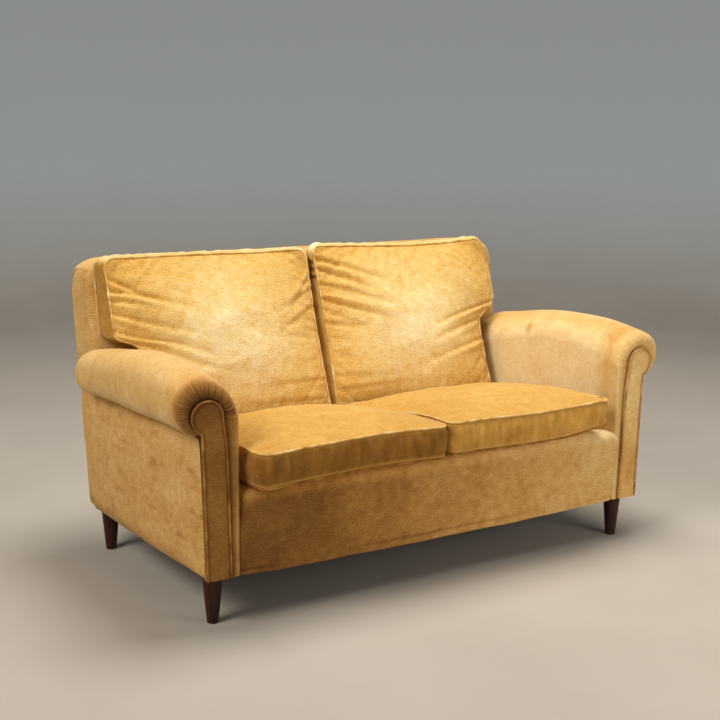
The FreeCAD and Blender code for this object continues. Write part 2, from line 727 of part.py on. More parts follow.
def pillow_sections(side, amount):
    """Rear, front edge and crown of a back cushion, inset by an amount."""

    def outline(rake):
        return [
            (f"{side} * middle_gap", f"pillow_bottom / cos(atan({rake}))", side, 1),
            (f"{side} * pillow_side", f"pillow_bottom / cos(atan({rake}))", -side, 1),
            (f"{side} * pillow_side", f"ear_low / cos(atan({rake}))", -side, 1),
            (f"{side} * ear_side", f"ear_tip / cos(atan({rake}))", -side, 1),
            (f"{side} * ear_side", f"pillow_top / cos(atan({rake}))", -side, -1),
            (f"{side} * middle_gap", f"pillow_top / cos(atan({rake}))", side, -1),
        ]

    rear = inset(outline("rake"), amount)
    front = inset(outline("pillow_rake"), amount)
    centre = (f"{side} * (middle_gap + pillow_side) / 2",
              "(pillow_bottom + pillow_top) / 2 / cos(atan(pillow_rake))")
    tilt = "90 deg - atan({})"
    return [
        (rear, f"front_y + pillow_rear - {amount}", "0", tilt.format("rake")),
        (front, "front_y + pillow_front", "0", tilt.format("pillow_rake")),
        (shrunk(front, "crown_scale", centre), f"front_y + pillow_front - pillow_crown + {amount}",
         "0", tilt.format("pillow_rake")),
    ]


def cushion(name, sections, zip_block):
    """A loose cushion: core, cover round it, and the zip in the cover."""
    outer = loft(name + "_outer", [
        free_sketch(f"{name}_outer{i}", *section) for i, section in enumerate(sections("0"))])
    core = loft(name + "_core", [
        free_sketch(f"{name}_core{i}", *section) for i, section in enumerate(sections("cover_thick"))])
    filled = cut(name + "_filled", outer, core)
    parts.append(cut(name + "_cover", filled, zip_block))
    parts.append(core)
    parts.append(zip_block)


for side, word in SIDES:
    name = f"{word}_seat_cushion"
    middle_x = f"{side} * (middle_gap + seat_side) / 2"
    zip_x = (f"{middle_x} - zip_half", f"{middle_x} + zip_half")
    cushion(
        name,
        lambda amount, side=side: seat_sections(side, amount),
        block(name + "_zip", zip_x, (deep("seat_rear - zip_thick"), deep("seat_rear")),
              ("zip_low", "zip_low + zip_wide")))
    edge = seat_sections(side, "-(piping_r + piping_clear)")[1][0]
    rings = [
        piping(f"{name}_low_piping", edge, "0", "seat_bottom + piping_r", "0"),
        piping(f"{name}_high_piping", edge, "0", "seat_edge - piping_r", "0"),
    ]
    parts.append(group(name + "_piping", rings))

for side, word in SIDES:
    name = f"{word}_back_cushion"
    middle_x = f"{side} * (middle_gap + pillow_side) / 2"
    zip_x = (f"{middle_x} - zip_half", f"{middle_x} + zip_half")
    cushion(
        name,
        lambda amount, side=side: pillow_sections(side, amount),
        block(name + "_zip", zip_x, (deep("zip_deep"), deep("zip_deep + zip_wide")),
              ("pillow_bottom", "pillow_bottom + zip_thick")))
    rear, front, _ = pillow_sections(side, "-(piping_r + piping_clear)")
    rings = [
        piping(f"{name}_rear_piping", rear[0], deep("pillow_rear - piping_r"), "0", rear[3]),
        piping(f"{name}_front_piping", front[0], deep("pillow_front + piping_r"), "0", front[3]),
    ]
    parts.append(group(name + "_piping", rings))

# ---- check and write ----------------------------------------------------------------------------

doc.recompute()
for item in doc.Objects:
    bad = [state for state in item.State if state in ("Invalid", "Error")]
    if bad:
        raise RuntimeError(f"{item.Name} failed: {bad}")
for item in parts:
    if item.Shape.isNull() or not item.Shape.isValid() or not item.Shape.Solids:
        raise RuntimeError(f"{item.Label} has no valid solid")

os.makedirs("parts", exist_ok=True)
for item in parts:
    item.Shape.exportStep(f"parts/{item.Label}.step")
whole = Part.makeCompound([item.Shape for item in parts]).BoundBox
print(len(parts), "parts", whole)
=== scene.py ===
import math

import bmesh
import bpy
import numpy as np
from mathutils import Matrix, Vector, noise


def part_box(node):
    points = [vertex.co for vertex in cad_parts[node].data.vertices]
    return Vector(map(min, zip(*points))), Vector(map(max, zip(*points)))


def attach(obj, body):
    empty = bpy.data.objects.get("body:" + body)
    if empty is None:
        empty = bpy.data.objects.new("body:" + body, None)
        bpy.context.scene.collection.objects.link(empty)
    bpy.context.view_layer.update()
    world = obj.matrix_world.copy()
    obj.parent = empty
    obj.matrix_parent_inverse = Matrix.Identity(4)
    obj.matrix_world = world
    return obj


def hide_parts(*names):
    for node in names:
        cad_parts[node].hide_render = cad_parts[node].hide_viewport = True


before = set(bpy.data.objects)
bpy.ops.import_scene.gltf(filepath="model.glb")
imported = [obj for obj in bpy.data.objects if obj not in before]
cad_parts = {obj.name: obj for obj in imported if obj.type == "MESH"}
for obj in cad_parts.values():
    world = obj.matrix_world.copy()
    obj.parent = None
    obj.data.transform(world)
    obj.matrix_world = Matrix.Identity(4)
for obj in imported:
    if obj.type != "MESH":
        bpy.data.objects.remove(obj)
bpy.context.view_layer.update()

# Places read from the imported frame, in metres. Depth is measured back from FRONT.
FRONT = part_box("front_border")[0].y
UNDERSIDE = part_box("front_border")[0].z
DECK_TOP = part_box("front_border")[1].z
ARM_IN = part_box("right_arm_pad")[0].x
ROLL_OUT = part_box("right_arm_pad")[1].x
PANEL_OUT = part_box("right_outside_arm")[1].x
BORDER_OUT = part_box("right_back_border")[1].x
BACK_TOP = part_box("inside_back_pad")[1].z
CUSHION_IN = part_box("right_seat_cushion_cover")[0].x
CUSHION_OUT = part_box("right_seat_cushion_cover")[1].x
EAR_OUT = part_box("right_back_cushion_cover")[1].x

# The back leans: its planes move back by RAKE for each metre of height.
RAKE = 0.155
BACK_FACE = 0.605
BACK_REAR = 0.756
FACE_ROUND = 0.022
REAR_ROUND = 0.055
CORNER_ROUND = 0.03
TOP_CORNER = 0.062

# The arm's roll: depth, radius and height of its middle, at four places.
ARM_ROLL = ((0.0, 0.064, 0.568), (0.14, 0.082, 0.575), (0.43, 0.081, 0.567), (0.735, 0.059, 0.542))
ARM_END = 0.70
HEAD_MIDDLE = (0.721, 0.547)
HEAD_RADIUS = 0.044
FACING_IN = (0.657, 0.668)
FACING_OUT = (0.726, 0.7357)
NECK = 0.487
NOTCH = 0.5055
BOARD_DEEP = 0.036
PANEL_TOP = 0.487

# The signs and names of the sides, the pitch of the velvet's ribs, and what keeps divisors above 0.
SIDES = ((-1, "left"), (1, "right"))
RIB_PITCH = 0.0032
TINY = 1e-9

scene = bpy.context.scene
stack = np.column_stack


# ---- shaders

def linear(code):
    """Linear RGBA of a hex colour code."""
    channels = [int(code[place:place + 2], 16) / 255 for place in (0, 2, 4)]
    return [c / 12.92 if c <= 0.04045 else ((c + 0.055) / 1.055) ** 2.4 for c in channels] + [1.0]


class Shader:
    """A new material, with short ways to add nodes to it."""

    def __init__(self, name):
        self.material = bpy.data.materials.new(name)
        self.material.use_nodes = True
        self.tree = self.material.node_tree
        self.surface = self.tree.nodes["Principled BSDF"]

    def feed(self, socket, value):
        if isinstance(value, bpy.types.NodeSocket):
            self.tree.links.new(value, socket)
        else:
            socket.default_value = value

    def set(self, **values):
        for name, value in values.items():
            self.feed(self.surface.inputs[name.replace("_", " ")], value)

    def node(self, kind, inputs, **settings):
        """Adds a node, feeds its inputs by name or number, and gives its outputs."""
        node = self.tree.nodes.new("ShaderNode" + kind)
        for name, value in settings.items():
            setattr(node, name, value)
        for key, value in inputs.items():
            self.feed(node.inputs[key], value)
        return node.outputs

    def place(self):
        return self.node("TexCoord", {})["Object"]

    def attribute(self, name, output):
        return self.node("Attribute", {}, attribute_name=name)[output]

    def stretch(self, vector, factors):
        return self.node("VectorMath", {0: vector, 1: factors}, operation="MULTIPLY")["Vector"]

    def noise(self, vector, scale, detail=3.0, rough=0.5, distortion=0.0):
        return self.node("TexNoise", {"Vector": vector, "Scale": scale, "Detail": detail,
                                      "Roughness": rough, "Distortion": distortion})["Fac"]

    def maths(self, operation, *values):
        return self.node("Math", dict(enumerate(values)), operation=operation)["Value"]

    def split(self, vector):
        return self.node("SeparateXYZ", {"Vector": vector})

    def ramp(self, value, stops):
        colour = self.node("ValToRGB", {"Fac": value})["Color"]
        elements = colour.node.color_ramp.elements
        while len(elements) < len(stops):
            elements.new(0.5)
        for element, (position, code) in zip(elements, stops):
            element.position = position
            element.color = linear(code)
        return colour

    def mix(self, factor, first, second):
        """Mixes two colours, which are inputs 6 and 7 of the node."""
        return self.node("Mix", {0: factor, 6: first, 7: second}, data_type="RGBA")[2]

    def bump(self, height, distance, strength, normal=None):
        inputs = {"Height": height, "Distance": distance, "Strength": strength}
        if normal is not None:
            inputs["Normal"] = normal
        return self.node("Bump", inputs)["Normal"]


def velvet(name, stops, soil_and_shade, sheen, grain):
    """Worn ribbed velvet. The weave attribute gives metres along and across the ribs, and the tone
    attribute makes the nap paler (up) or darker (down): rubbed pale or soiled in places, painted light
    and painted shade in others."""
    shader = Shader(name)
    weave = shader.attribute("weave", "Vector")
    tone = shader.attribute("tone", "Fac")
    place = shader.place()
    streaks = shader.noise(shader.stretch(weave, (34.0, 420.0, 1.0)), 1.0, 3.0, 0.6)
    threads = shader.noise(shader.stretch(weave, (150.0, 700.0, 1.0)), 1.0, 1.0)
    mottle = shader.noise(place, 34.0, 5.0, 0.65)
    blotch = shader.noise(place, 6.0, 3.0, 0.55)
    level = shader.maths("MULTIPLY_ADD", streaks, 0.66 * grain, 0.52 - 0.66 * grain)
    level = shader.maths("MULTIPLY_ADD", threads, 0.66 * grain, level)
    for cloud, share in ((mottle, 0.36), (blotch, 0.16)):
        level = shader.maths("MULTIPLY_ADD", shader.maths("SUBTRACT", cloud, 0.5), share, level)
    level = shader.maths("MULTIPLY_ADD", tone, 0.42, level)
    colour = shader.ramp(level, stops)
    # Negative tone mixes in the dark soiling colour: soiling in places, and painted shade in creases,
    # recesses and on the less lit left side.
    dirt_and_shade = shader.maths("MULTIPLY", tone, -1.0)
    dirt_and_shade = shader.maths("MULTIPLY", dirt_and_shade, shader.maths("ADD", mottle, 0.45))
    dirt_and_shade = shader.maths("MULTIPLY", dirt_and_shade, 0.75)
    dirt_and_shade.node.use_clamp = True
    colour = shader.mix(dirt_and_shade, colour, linear(soil_and_shade))
    shader.set(Base_Color=colour, Roughness=0.9, Specular_IOR_Level=0.18)
    shader.set(Sheen_Weight=sheen, Sheen_Roughness=0.42, Sheen_Tint=linear("ffe9bd"))
    across = shader.split(weave)["Y"]
    rib = shader.maths("SINE", shader.maths("MULTIPLY", across, 2 * math.pi / RIB_PITCH))
    height = shader.maths("MULTIPLY_ADD", rib, 0.12, streaks)
    height = shader.maths("MULTIPLY_ADD", threads, 0.45, height)
    crush = shader.bump(blotch, 0.006, 0.2)
    crush = shader.bump(mottle, 0.0016, 0.3, crush)
    shader.set(Normal=shader.bump(height, 0.0014 * grain, 0.8, crush))
    return shader.material


def cord_cloth(name, stops):
    """The thin cloth over a sewn cord, rubbed and a little grubby."""
    shader = Shader(name)
    place = shader.place()
    grime = shader.noise(place, 22.0, 4.0, 0.6)
    twill = shader.noise(place, 900.0, 1.0)
    colour = shader.ramp(grime, stops)
    shader.set(Base_Color=colour, Roughness=0.9, Specular_IOR_Level=0.15)
    shader.set(Normal=shader.bump(twill, 0.0006, 0.6))
    return shader.material


def wood(name, stops, rough, along, gloss):
    """Wood with its grain along one axis: long streaks and fine pores."""
    shader = Shader(name)
    squeeze = [1.0, 1.0, 1.0]
    squeeze[along] = 0.05
    place = shader.stretch(shader.place(), squeeze)
    figure = shader.noise(place, 55.0, 6.0, 0.6, 1.4)
    pores = shader.noise(place, 900.0, 2.0)
    value = shader.maths("MULTIPLY_ADD", pores, 0.25, figure)
    colour = shader.ramp(shader.maths("ADD", value, -0.12), stops)
    shader.set(Base_Color=colour, Roughness=rough, Coat_Weight=gloss, Coat_Roughness=0.3)
    shader.set(Specular_IOR_Level=0.25)
    shader.set(Normal=shader.bump(pores, 0.0004, 0.35))
    return shader.material


def plain_cloth(name, dark, pale, pitch):
    """Plain woven cloth: crossing threads of one pitch, with a slow change of colour."""
    shader = Shader(name)
    place = shader.place()
    axes = shader.split(place)
    turn = 2 * math.pi / pitch
    threads = [shader.maths("SINE", shader.maths("MULTIPLY", axes[a], turn)) for a in ("X", "Y", "Z")]
    height = shader.maths("MULTIPLY", threads[0], shader.maths("ADD", threads[1], threads[2]))
    fade = shader.noise(place, 12.0, 4.0, 0.6)
    colour = shader.ramp(fade, ((0.3, dark), (0.7, pale)))
    shader.set(Base_Color=colour, Roughness=0.92)
    shader.set(Normal=shader.bump(height, pitch * 0.25, 0.6))
    return shader.material


def metal(name, code, rough, brushed):
    """Bare metal, dulled in patches."""
    shader = Shader(name)
    place = shader.place()
    dull = shader.noise(place, 60.0, 4.0)
    shader.set(Base_Color=linear(code), Metallic=1.0)
    shader.set(Roughness=shader.maths("MULTIPLY_ADD", dull, 0.3, rough))
    shader.set(Normal=shader.bump(shader.noise(place, brushed, 2.0), 0.0003, 0.3))
    return shader.material


BODY_STOPS = ((0.05, "6a3d14"), (0.30, "9f682a"), (0.52, "c08f4a"), (0.74, "d6b274"), (0.95, "e9d4a2"))
SEAT_STOPS = ((0.05, "714210"), (0.30, "b17829"), (0.52, "cf9e4a"), (0.74, "e0bf79"), (0.95, "efdfb5"))

FINISH_MAKERS = {
    # The third value of a velvet is its dark colour of soiling, which also serves as painted shade.
    "body_velvet": (velvet, BODY_STOPS, "35200e", 0.26, 0.7),
    "arm_velvet": (velvet, BODY_STOPS, "35200e", 0.26, 0.45),
    "cushion_velvet": (velvet, SEAT_STOPS, "43260b", 0.24, 1.0),
    "seat_velvet": (velvet, SEAT_STOPS, "43260b", 0.24, 0.45),
    # The cords are one cloth at three levels: the darker body cord is painted shade under the seat
    # cushions, and soiling with painted shade on the left welt; the paler cord of the right welt is
    # painted light.
    "piping": (cord_cloth, ((0.28, "93682f"), (0.5, "d2a862"), (0.72, "ecd29a"))),
    "body_cord": (cord_cloth, ((0.28, "6b3f17"), (0.5, "96602c"), (0.72, "b98748"))),
    "fair_cord": (cord_cloth, ((0.28, "80561f"), (0.5, "b98947"), (0.72, "dab475"))),
    "leg_wood": (wood, ((0.3, "1a0803"), (0.5, "311408"), (0.75, "4b220f")), 0.5, 2, 0.04),
    "frame_wood": (wood, ((0.3, "a77c4c"), (0.5, "c39a68"), (0.75, "d9b88a")), 0.7, 0, 0.0),
    "webbing": (plain_cloth, "8d7350", "b59b74", 0.003),
    "steel": (metal, "b9bbbd", 0.32, 500.0),
    "dust_cloth": (plain_cloth, "1c1b1a", "2b2927", 0.0025),
    "deck_cloth": (plain_cloth, "a08a63", "c2ad85", 0.002),
    "zip": (metal, "b08a4a", 0.35, 900.0),
}
FINISHES = {name: maker(name, *values) for name, (maker, *values) in FINISH_MAKERS.items()}


# ---- mesh helpers

def smooth(low, high, value):
    """Rises from 0 at low to 1 at high, without a corner at either end."""
    share = np.clip((np.asarray(value, dtype=float) - low) / (high - low), 0.0, 1.0)
    return share * share * (3 - 2 * share)


def lumps(points, scale, seed):
    """A smooth unevenness from about -1 to 1 at each point."""
    shift = Vector((seed * 7.3, -seed * 3.1, seed * 1.7))
    return np.array([noise.noise(Vector(point) * scale + shift) for point in points])


def grid_faces(rows, columns, closed=False, start=0):
    """Quads of a grid whose points are stored row by row. A closed grid joins its last column on."""
    faces = []
    for row in range(rows - 1):
        for column in range(columns if closed else columns - 1):
            after = (column + 1) % columns
            low = start + row * columns
            faces.append((low + column, low + after, low + columns + after, low + columns + column))
    return faces


def add_object(name, data):
    made = bpy.data.objects.new(name, data)
    scene.collection.objects.link(made)
    return made


def add_piece(name, points, faces, body, slot, weave, tone=None, levels=1, finish=None):
    """A new mesh piece that rides on a body, with its weave and tone attributes and its finish."""
    mesh = bpy.data.meshes.new(name)
    mesh.from_pydata([tuple(point) for point in points], [], faces)
    mesh.update()
    put_attribute(mesh, "weave", "FLOAT_VECTOR", "vector", weave)
    put_attribute(mesh, "tone", "FLOAT", "value", np.zeros(len(points)) if tone is None else tone)
    turned = bmesh.new()
    turned.from_mesh(mesh)
    bmesh.ops.recalc_face_normals(turned, faces=turned.faces)
    turned.to_mesh(mesh)
    turned.free()
    mesh.polygons.foreach_set("use_smooth", [True] * len(mesh.polygons))
    mesh.materials.append(FINISHES[finish or slot])
    piece = add_object(name, mesh)
    if levels:
        piece.modifiers.new("smooth", "SUBSURF").levels = levels
        piece.modifiers["smooth"].render_levels = levels
    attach(piece, body)
    return piece


def add_padded(name, points, faces, slot, weave, replaced, tone=None, body="frame", finish=None):
    """A piece of padded upholstery, which stands for some CAD nodes."""
    piece = add_piece(name, points, faces, body, slot, weave, tone, finish=finish)
    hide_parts(*replaced)
    return piece


def put_attribute(mesh, name, kind, field, values):
    attribute = mesh.attributes.get(name) or mesh.attributes.new(name, kind, "POINT")
    flat = np.asarray(values, dtype=np.float32)
    if kind == "FLOAT_VECTOR" and flat.shape[1] == 2:
        flat = stack([flat, np.zeros(len(flat))])
    attribute.data.foreach_set(field, flat.ravel())


def move_points(piece, points):
    piece.data.vertices.foreach_set("co", np.asarray(points).ravel())
    piece.data.update()


def add_cord(name, points, radius, body, closed, finish):
    """A sewn cord of one radius that follows the points."""
    curve = bpy.data.curves.new(name, "CURVE")
    curve.dimensions = "3D"
    curve.bevel_depth = radius
    curve.bevel_resolution = 3
    curve.resolution_u = 3
    spline = curve.splines.new("NURBS")
    spline.points.add(len(points) - 1)
    for knot, point in zip(spline.points, points):
        knot.co = (*point, 1.0)
    spline.order_u = 3
    spline.use_cyclic_u = closed
    spline.use_endpoint_u = not closed
    curve.use_fill_caps = not closed
    curve.materials.append(FINISHES[finish])
    piece = add_object(name, curve)
    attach(piece, body)
    return piece


def arc(middle, radius, first, last, count):
    """Points of an arc, with its angles in degrees."""
    angles = np.radians(np.linspace(first, last, count))
    return stack([middle[0] + radius * np.cos(angles), middle[1] + radius * np.sin(angles)])


def run(start, end, count):
    """Evenly spaced points on a straight line, both ends included."""
    return np.linspace(start, end, count)


def lengths(points):
    """Distance along a line of points, from its first."""
    steps = np.linalg.norm(np.diff(points, axis=0), axis=1)
    return np.concatenate([[0.0], np.cumsum(steps)])


def woven(along, line):
    """The weave of one row of points: where it lies along the ribs, and lengths across them."""
    return stack([np.full(len(line), along), lengths(line)])


def rim_drop(distance, radius):
    """How far a rounded edge has fallen away at a distance from the rim."""
    share = 1 - np.clip(distance / radius, 0.0, 1.0)
    return radius * (1 - np.sqrt(1 - share ** 2))


# ---- loose cushions

STEP = 0.0060
BOX_ROWS = 6
BOX_PUCKER = 0.0042
CLOTH_STEPS = 21
PANEL_WAIST = 0.007
CREASE_SHARE = 0.8
RIPPLE = 0.0011
ZIP_HALF = 0.200
ZIP_WIDE = 0.008
ZIP_PROUD = 0.0018


def rim(rows, columns):
    """Indices round the edge of a grid, once, in order."""
    bottom = list(range(columns))
    right = [row * columns + columns - 1 for row in range(1, rows)]
    top = [(rows - 1) * columns + column for column in range(columns - 2, -1, -1)]
    left = [row * columns for row in range(rows - 2, 0, -1)]
    return bottom + right + top + left


def soft_corners(across, up, half_wide, half_tall, corner):
    """Moves the corners of a rectangle's points in on to arcs."""
    over_x = np.maximum(np.abs(across) - (half_wide - corner), 0.0)
    over_y = np.maximum(np.abs(up) - (half_tall - corner), 0.0)
    new_x = over_x * np.sqrt(1 - over_y ** 2 / (2 * corner ** 2))
    new_y = over_y * np.sqrt(1 - over_x ** 2 / (2 * corner ** 2))
    across = np.sign(across) * (np.minimum(np.abs(across), half_wide - corner) + new_x)
    up = np.sign(up) * (np.minimum(np.abs(up), half_tall - corner) + new_y)
    return across, up


def dome(across, up, power):
    """The pillow shape of a panel, 0 at its rim and 1 in the middle."""
    return np.clip((1 - across ** 2) * (1 - up ** 2), 0.0, 1.0) ** power


class Cushion:
    """A boxed cushion: two panels on one grid, a boxing strip between them, and a piping on each
    seam. place(f, g, h) gives the point at share f from the sofa's middle outwards, g along the
    panel and h from its resting panel to its shown one."""

    def __init__(self, name, side, place, wide, tall, corner, crown, box_bulge, seed):
        self.name, self.side, self.seed = name, side, seed
        self.is_seat = "seat" in name
        self.columns = round(wide / STEP) + 1
        self.rows = round(tall / STEP) + 1
        self.shown_count = self.rows * self.columns
        self.loop = rim(self.rows, self.columns)
        shown, under = self.make_panels(place, wide, tall, corner, crown)
        boxing, boxing_weave = self.make_boxing(shown[self.loop], under[self.loop], box_bulge)
        self.points = np.concatenate([shown, under, boxing])
        self.weave = np.concatenate([self.flat + seed, self.flat - seed, boxing_weave])
        self.faces = self.make_faces()

    def make_panels(self, place, wide, tall, corner, crown):
        """The shown panel, crowned and a little lumpy, and the plain one under it."""
        across, up = np.meshgrid(np.linspace(-1, 1, self.columns), np.linspace(-1, 1, self.rows))
        across, up = across.ravel(), up.ravel()
        x, y = soft_corners(across * wide / 2, up * tall / 2, wide / 2, tall / 2, corner)
        x -= np.sign(x) * PANEL_WAIST * np.abs(across) ** 6 * (1 - up ** 2)
        y -= np.sign(y) * PANEL_WAIST * np.abs(up) ** 6 * (1 - across ** 2)
        self.flat = stack([x, y])
        f, g = x / wide + 0.5, y / tall + 0.5
        shown = place(f, g, np.ones_like(f))
        under = place(f, g, np.zeros_like(f))
        out = shown - under
        out /= np.linalg.norm(out, axis=1)[:, None]
        hump = dome(across, up, 0.62)
        bumps = lumps(stack([self.flat, np.full(len(f), self.seed)]), 9.0, self.seed)
        shown += out * (crown * hump + 0.004 * bumps * hump)[:, None]
        return shown, under

    def make_boxing(self, shown_rim, under_rim, bulge):
        """The rows of the strip between the panels, bulged and puckered, with their weave."""
        along = lengths(shown_rim)
        ahead = np.roll(shown_rim, -2, axis=0) - np.roll(shown_rim, 2, axis=0)
        outward = np.cross(ahead, shown_rim - under_rim)
        outward /= np.linalg.norm(outward, axis=1)[:, None]
        from_centre = shown_rim - shown_rim.mean(axis=0)
        outward *= np.sign(np.sum(outward * from_centre, axis=1))[:, None]
        strips, weaves = [], []
        for row in range(1, BOX_ROWS):
            share = row / BOX_ROWS
            bow = 4 * share * (1 - share)
            strip = shown_rim + (under_rim - shown_rim) * share
            pucker = BOX_PUCKER * lumps(strip * (1.0, 1.0, 0.3), 44.0, self.seed + 1)
            strips.append(strip + outward * (bulge * bow ** 0.7 + pucker * bow)[:, None])
            weaves.append(stack([along, np.full(len(along), share * 0.1 + self.seed)]))
        return np.concatenate(strips), np.concatenate(weaves)

    def make_faces(self):
        count, ring = self.shown_count, len(self.loop)
        faces = grid_faces(self.rows, self.columns)
        faces += [tuple(reversed([index + count for index in face])) for face in faces]
        bands = [list(self.loop)]
        for row in range(BOX_ROWS - 1):
            first = 2 * count + row * ring
            bands.append(list(range(first, first + ring)))
        bands.append([index + count for index in self.loop])
        for upper, lower in zip(bands, bands[1:]):
            for place in range(ring):
                after = (place + 1) % ring
                faces.append((upper[place], lower[place], lower[after], upper[after]))
        self.seams = [bands[0], bands[-1]]
        return faces

    def build(self, fill):
        replaced = [f"{self.name}_cover", f"{self.name}_core"]
        finish = "seat_velvet" if self.is_seat else "cushion_velvet"
        self.piece = add_padded(f"{self.name}_cloth", self.points, self.faces, "cushion_velvet",
                                self.weave, replaced, body=self.name, finish=finish)
        pins = self.piece.vertex_groups.new(name="seams")
        for seam in self.seams:
            pins.add(seam, 1.0, "REPLACE")

    def add_cloth(self, pressure, slack):
        """A cloth that swells under pressure, held along its seams."""
        cloth = self.piece.modifiers.new("swell", "CLOTH")
        self.piece.modifiers.move(len(self.piece.modifiers) - 1, 0)
        settings = cloth.settings
        values = {
            "quality": 5, "mass": 0.25, "tension_stiffness": 25, "compression_stiffness": 25,
            "shear_stiffness": 12, "bending_stiffness": 0.6, "air_damping": 3,
            "use_pressure": True, "uniform_pressure_force": pressure,
            "vertex_group_mass": "seams", "shrink_min": -slack,
        }
        for name, value in values.items():
            setattr(settings, name, value)
        settings.effector_weights.gravity = 0
        cloth.collision_settings.use_collision = False
        cloth.point_cache.frame_start = 1
        cloth.point_cache.frame_end = CLOTH_STEPS + 3

    def swollen(self, cap):
        """The points as the cloth has swollen them, none of them moved further than cap."""
        if "swell" not in self.piece.modifiers:
            return self.points.copy()
        smoothing = self.piece.modifiers["smooth"]
        smoothing.show_viewport = False
        graph = bpy.context.evaluated_depsgraph_get()
        graph.update()
        result = self.piece.evaluated_get(graph).data
        places = np.empty(len(result.vertices) * 3)
        result.vertices.foreach_get("co", places)
        smoothing.show_viewport = True
        self.piece.modifiers.remove(self.piece.modifiers["swell"])
        moved = places.reshape(-1, 3) - self.points
        far = np.maximum(np.linalg.norm(moved, axis=1), TINY)
        return self.points + moved * np.minimum(1.0, cap / far)[:, None]

    def finish(self, cap, limit, creases, tone):
        """Takes the swollen shape, adds the creases, and sews the piping and the zip on."""
        points = self.swollen(cap)
        move_points(self.piece, points)
        normals = np.array([vertex.normal for vertex in self.piece.data.vertices])
        shown = slice(0, self.shown_count)
        depth = np.zeros(self.shown_count)
        for one in creases:
            depth += CREASE_SHARE * crease(self.flat, *one)
        if not self.is_seat:
            place = stack([self.flat * (7.0, 42.0), np.full(len(depth), self.seed)])
            depth += RIPPLE * lumps(place, 1.0, 4.0)
        points[shown] += normals[shown] * depth[:, None]
        points = limit(points)
        move_points(self.piece, points)
        shade = tone(self, points)
        # Painted shade: the shown panel is darkened where its creases and ripples sink it.
        shade[shown] += np.clip(depth, -0.006, 0.0) * 45
        put_attribute(self.piece.data, "tone", "FLOAT", "value", shade)
        self.sew_piping(points, limit)
        self.add_zip(points)

    def sew_piping(self, points, limit):
        """A cord on each seam. The one under a seat cushion is thinner, and darker as painted shade."""
        for seam, word in zip(self.seams, ("front", "rear")):
            line = points[seam]
            away = line - line.mean(axis=0)
            proud = line + away / np.linalg.norm(away, axis=1)[:, None] * 0.0015
            under = self.is_seat and word == "rear"
            # Painted shade: the cord under a seat cushion gets the darker cloth.
            radius, finish = (0.0024, "body_cord") if under else (0.0029, "piping")
            name = f"{self.name}_{word}_piping"
            add_cord(name, limit(proud), radius, self.name, True, finish)

    def add_zip(self, points):
        """The zip sewn in the boxing, at the rear of a seat cushion and under a back cushion."""
        outward, across = ((0, 1, 0), (0, 0, 1)) if self.is_seat else ((0, 0, -1), (0, 1, 0))
        first = 2 * self.shown_count + (BOX_ROWS // 2 - 1) * len(self.loop)
        line = points[first:first + self.columns]
        line = line[np.abs(self.flat[:self.columns, 0]) < ZIP_HALF]
        section = ((-0.5, 0.0), (-0.35, 1.0), (0.35, 1.0), (0.5, 0.0))
        places = np.concatenate([
            line + np.array(across) * ZIP_WIDE * place + np.array(outward) * ZIP_PROUD * lift
            for place, lift in section])
        piece = add_piece(f"{self.name}_zip_tape", places, grid_faces(len(section), len(line)),
                          self.name, "zip", places[:, :2], levels=0)
        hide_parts(f"{self.name}_zip")


def crease(flat, start, bend, end, depth, width):
    """Height of one crease over a panel: a groove on a bent line, with a soft lip beside it."""
    share = np.linspace(0, 1, 30)[:, None]
    start, bend, end = (np.array(point) for point in (start, bend, end))
    line = (1 - share) ** 2 * start + 2 * share * (1 - share) * bend + share ** 2 * end
    gap = flat[:, None, :] - line[None, :, :]
    distance = np.linalg.norm(gap, axis=2)
    nearest = distance.argmin(axis=1)
    away = distance.min(axis=1)
    ahead = np.gradient(line, axis=0)[nearest]
    near_gap = gap[np.arange(len(flat)), nearest]
    side = np.sign(ahead[:, 0] * near_gap[:, 1] - ahead[:, 1] * near_gap[:, 0])
    share = nearest / 29
    taper = (1 - share) ** 0.9 * smooth(-0.02, 0.06, share)
    width = width * (0.50 + 0.70 * share)
    groove = -np.exp(-(away / width) ** 2)
    lip = 0.35 * np.exp(-((away - 2.4 * width) / (1.8 * width)) ** 2) * (1 + 0.9 * side)
    return depth * taper * (groove + lip)


# The loose cushions have slid a little to the left, and the seats have sunk towards the back. GAP
# is what the cushions keep clear of the deck and of each other.
SEAT_SPANS = {-1: (0.022, CUSHION_OUT), 1: (-0.013, CUSHION_OUT - 0.041)}
SEAT_FRONT = -0.046
SEAT_REAR = 0.520
SEAT_LOW = DECK_TOP + 0.014
SEAT_HIGH = 0.453
SEAT_SINK = 0.056
BACK_LOW = 0.364
BACK_HIGH = 0.862
BACK_OUTER = 0.612
BACK_WIDE = 0.620
GAP = 0.0012
BACK_SHIFT = -0.021
GATHERS = np.array([0.772, 0.796, 0.818])
EARS = {-1: (0.622, 0.650, EAR_OUT + 0.002, 0.004), 1: (0.602, 0.676, EAR_OUT + 0.015, 0.014)}


def seat_place(side):
    def place(f, g, h):
        inner, outer = SEAT_SPANS[side]
        nose = 0.020 * smooth(0.75, 1.0, f) * smooth(0.8, 1.0, g) * (side < 0)
        x = side * (inner + f * (outer - inner))
        y = FRONT + SEAT_REAR + (SEAT_FRONT - SEAT_REAR) * g - nose
        high = SEAT_HIGH - SEAT_SINK * smooth(0.15, 1.0, 1 - g) - 0.008 * (2 * f - 1) ** 4 * (1 - g)
        low = SEAT_LOW - 0.010 * smooth(0.1, 0.6, 1 - g)
        low += 0.014 * smooth(0.7, 1.0, f) * smooth(0.8, 1.0, g) * (side > 0)
        z = low + (high - low) * h + 0.003 * np.sin(f * 7 + side)
        return stack([x, y, z])
    return place


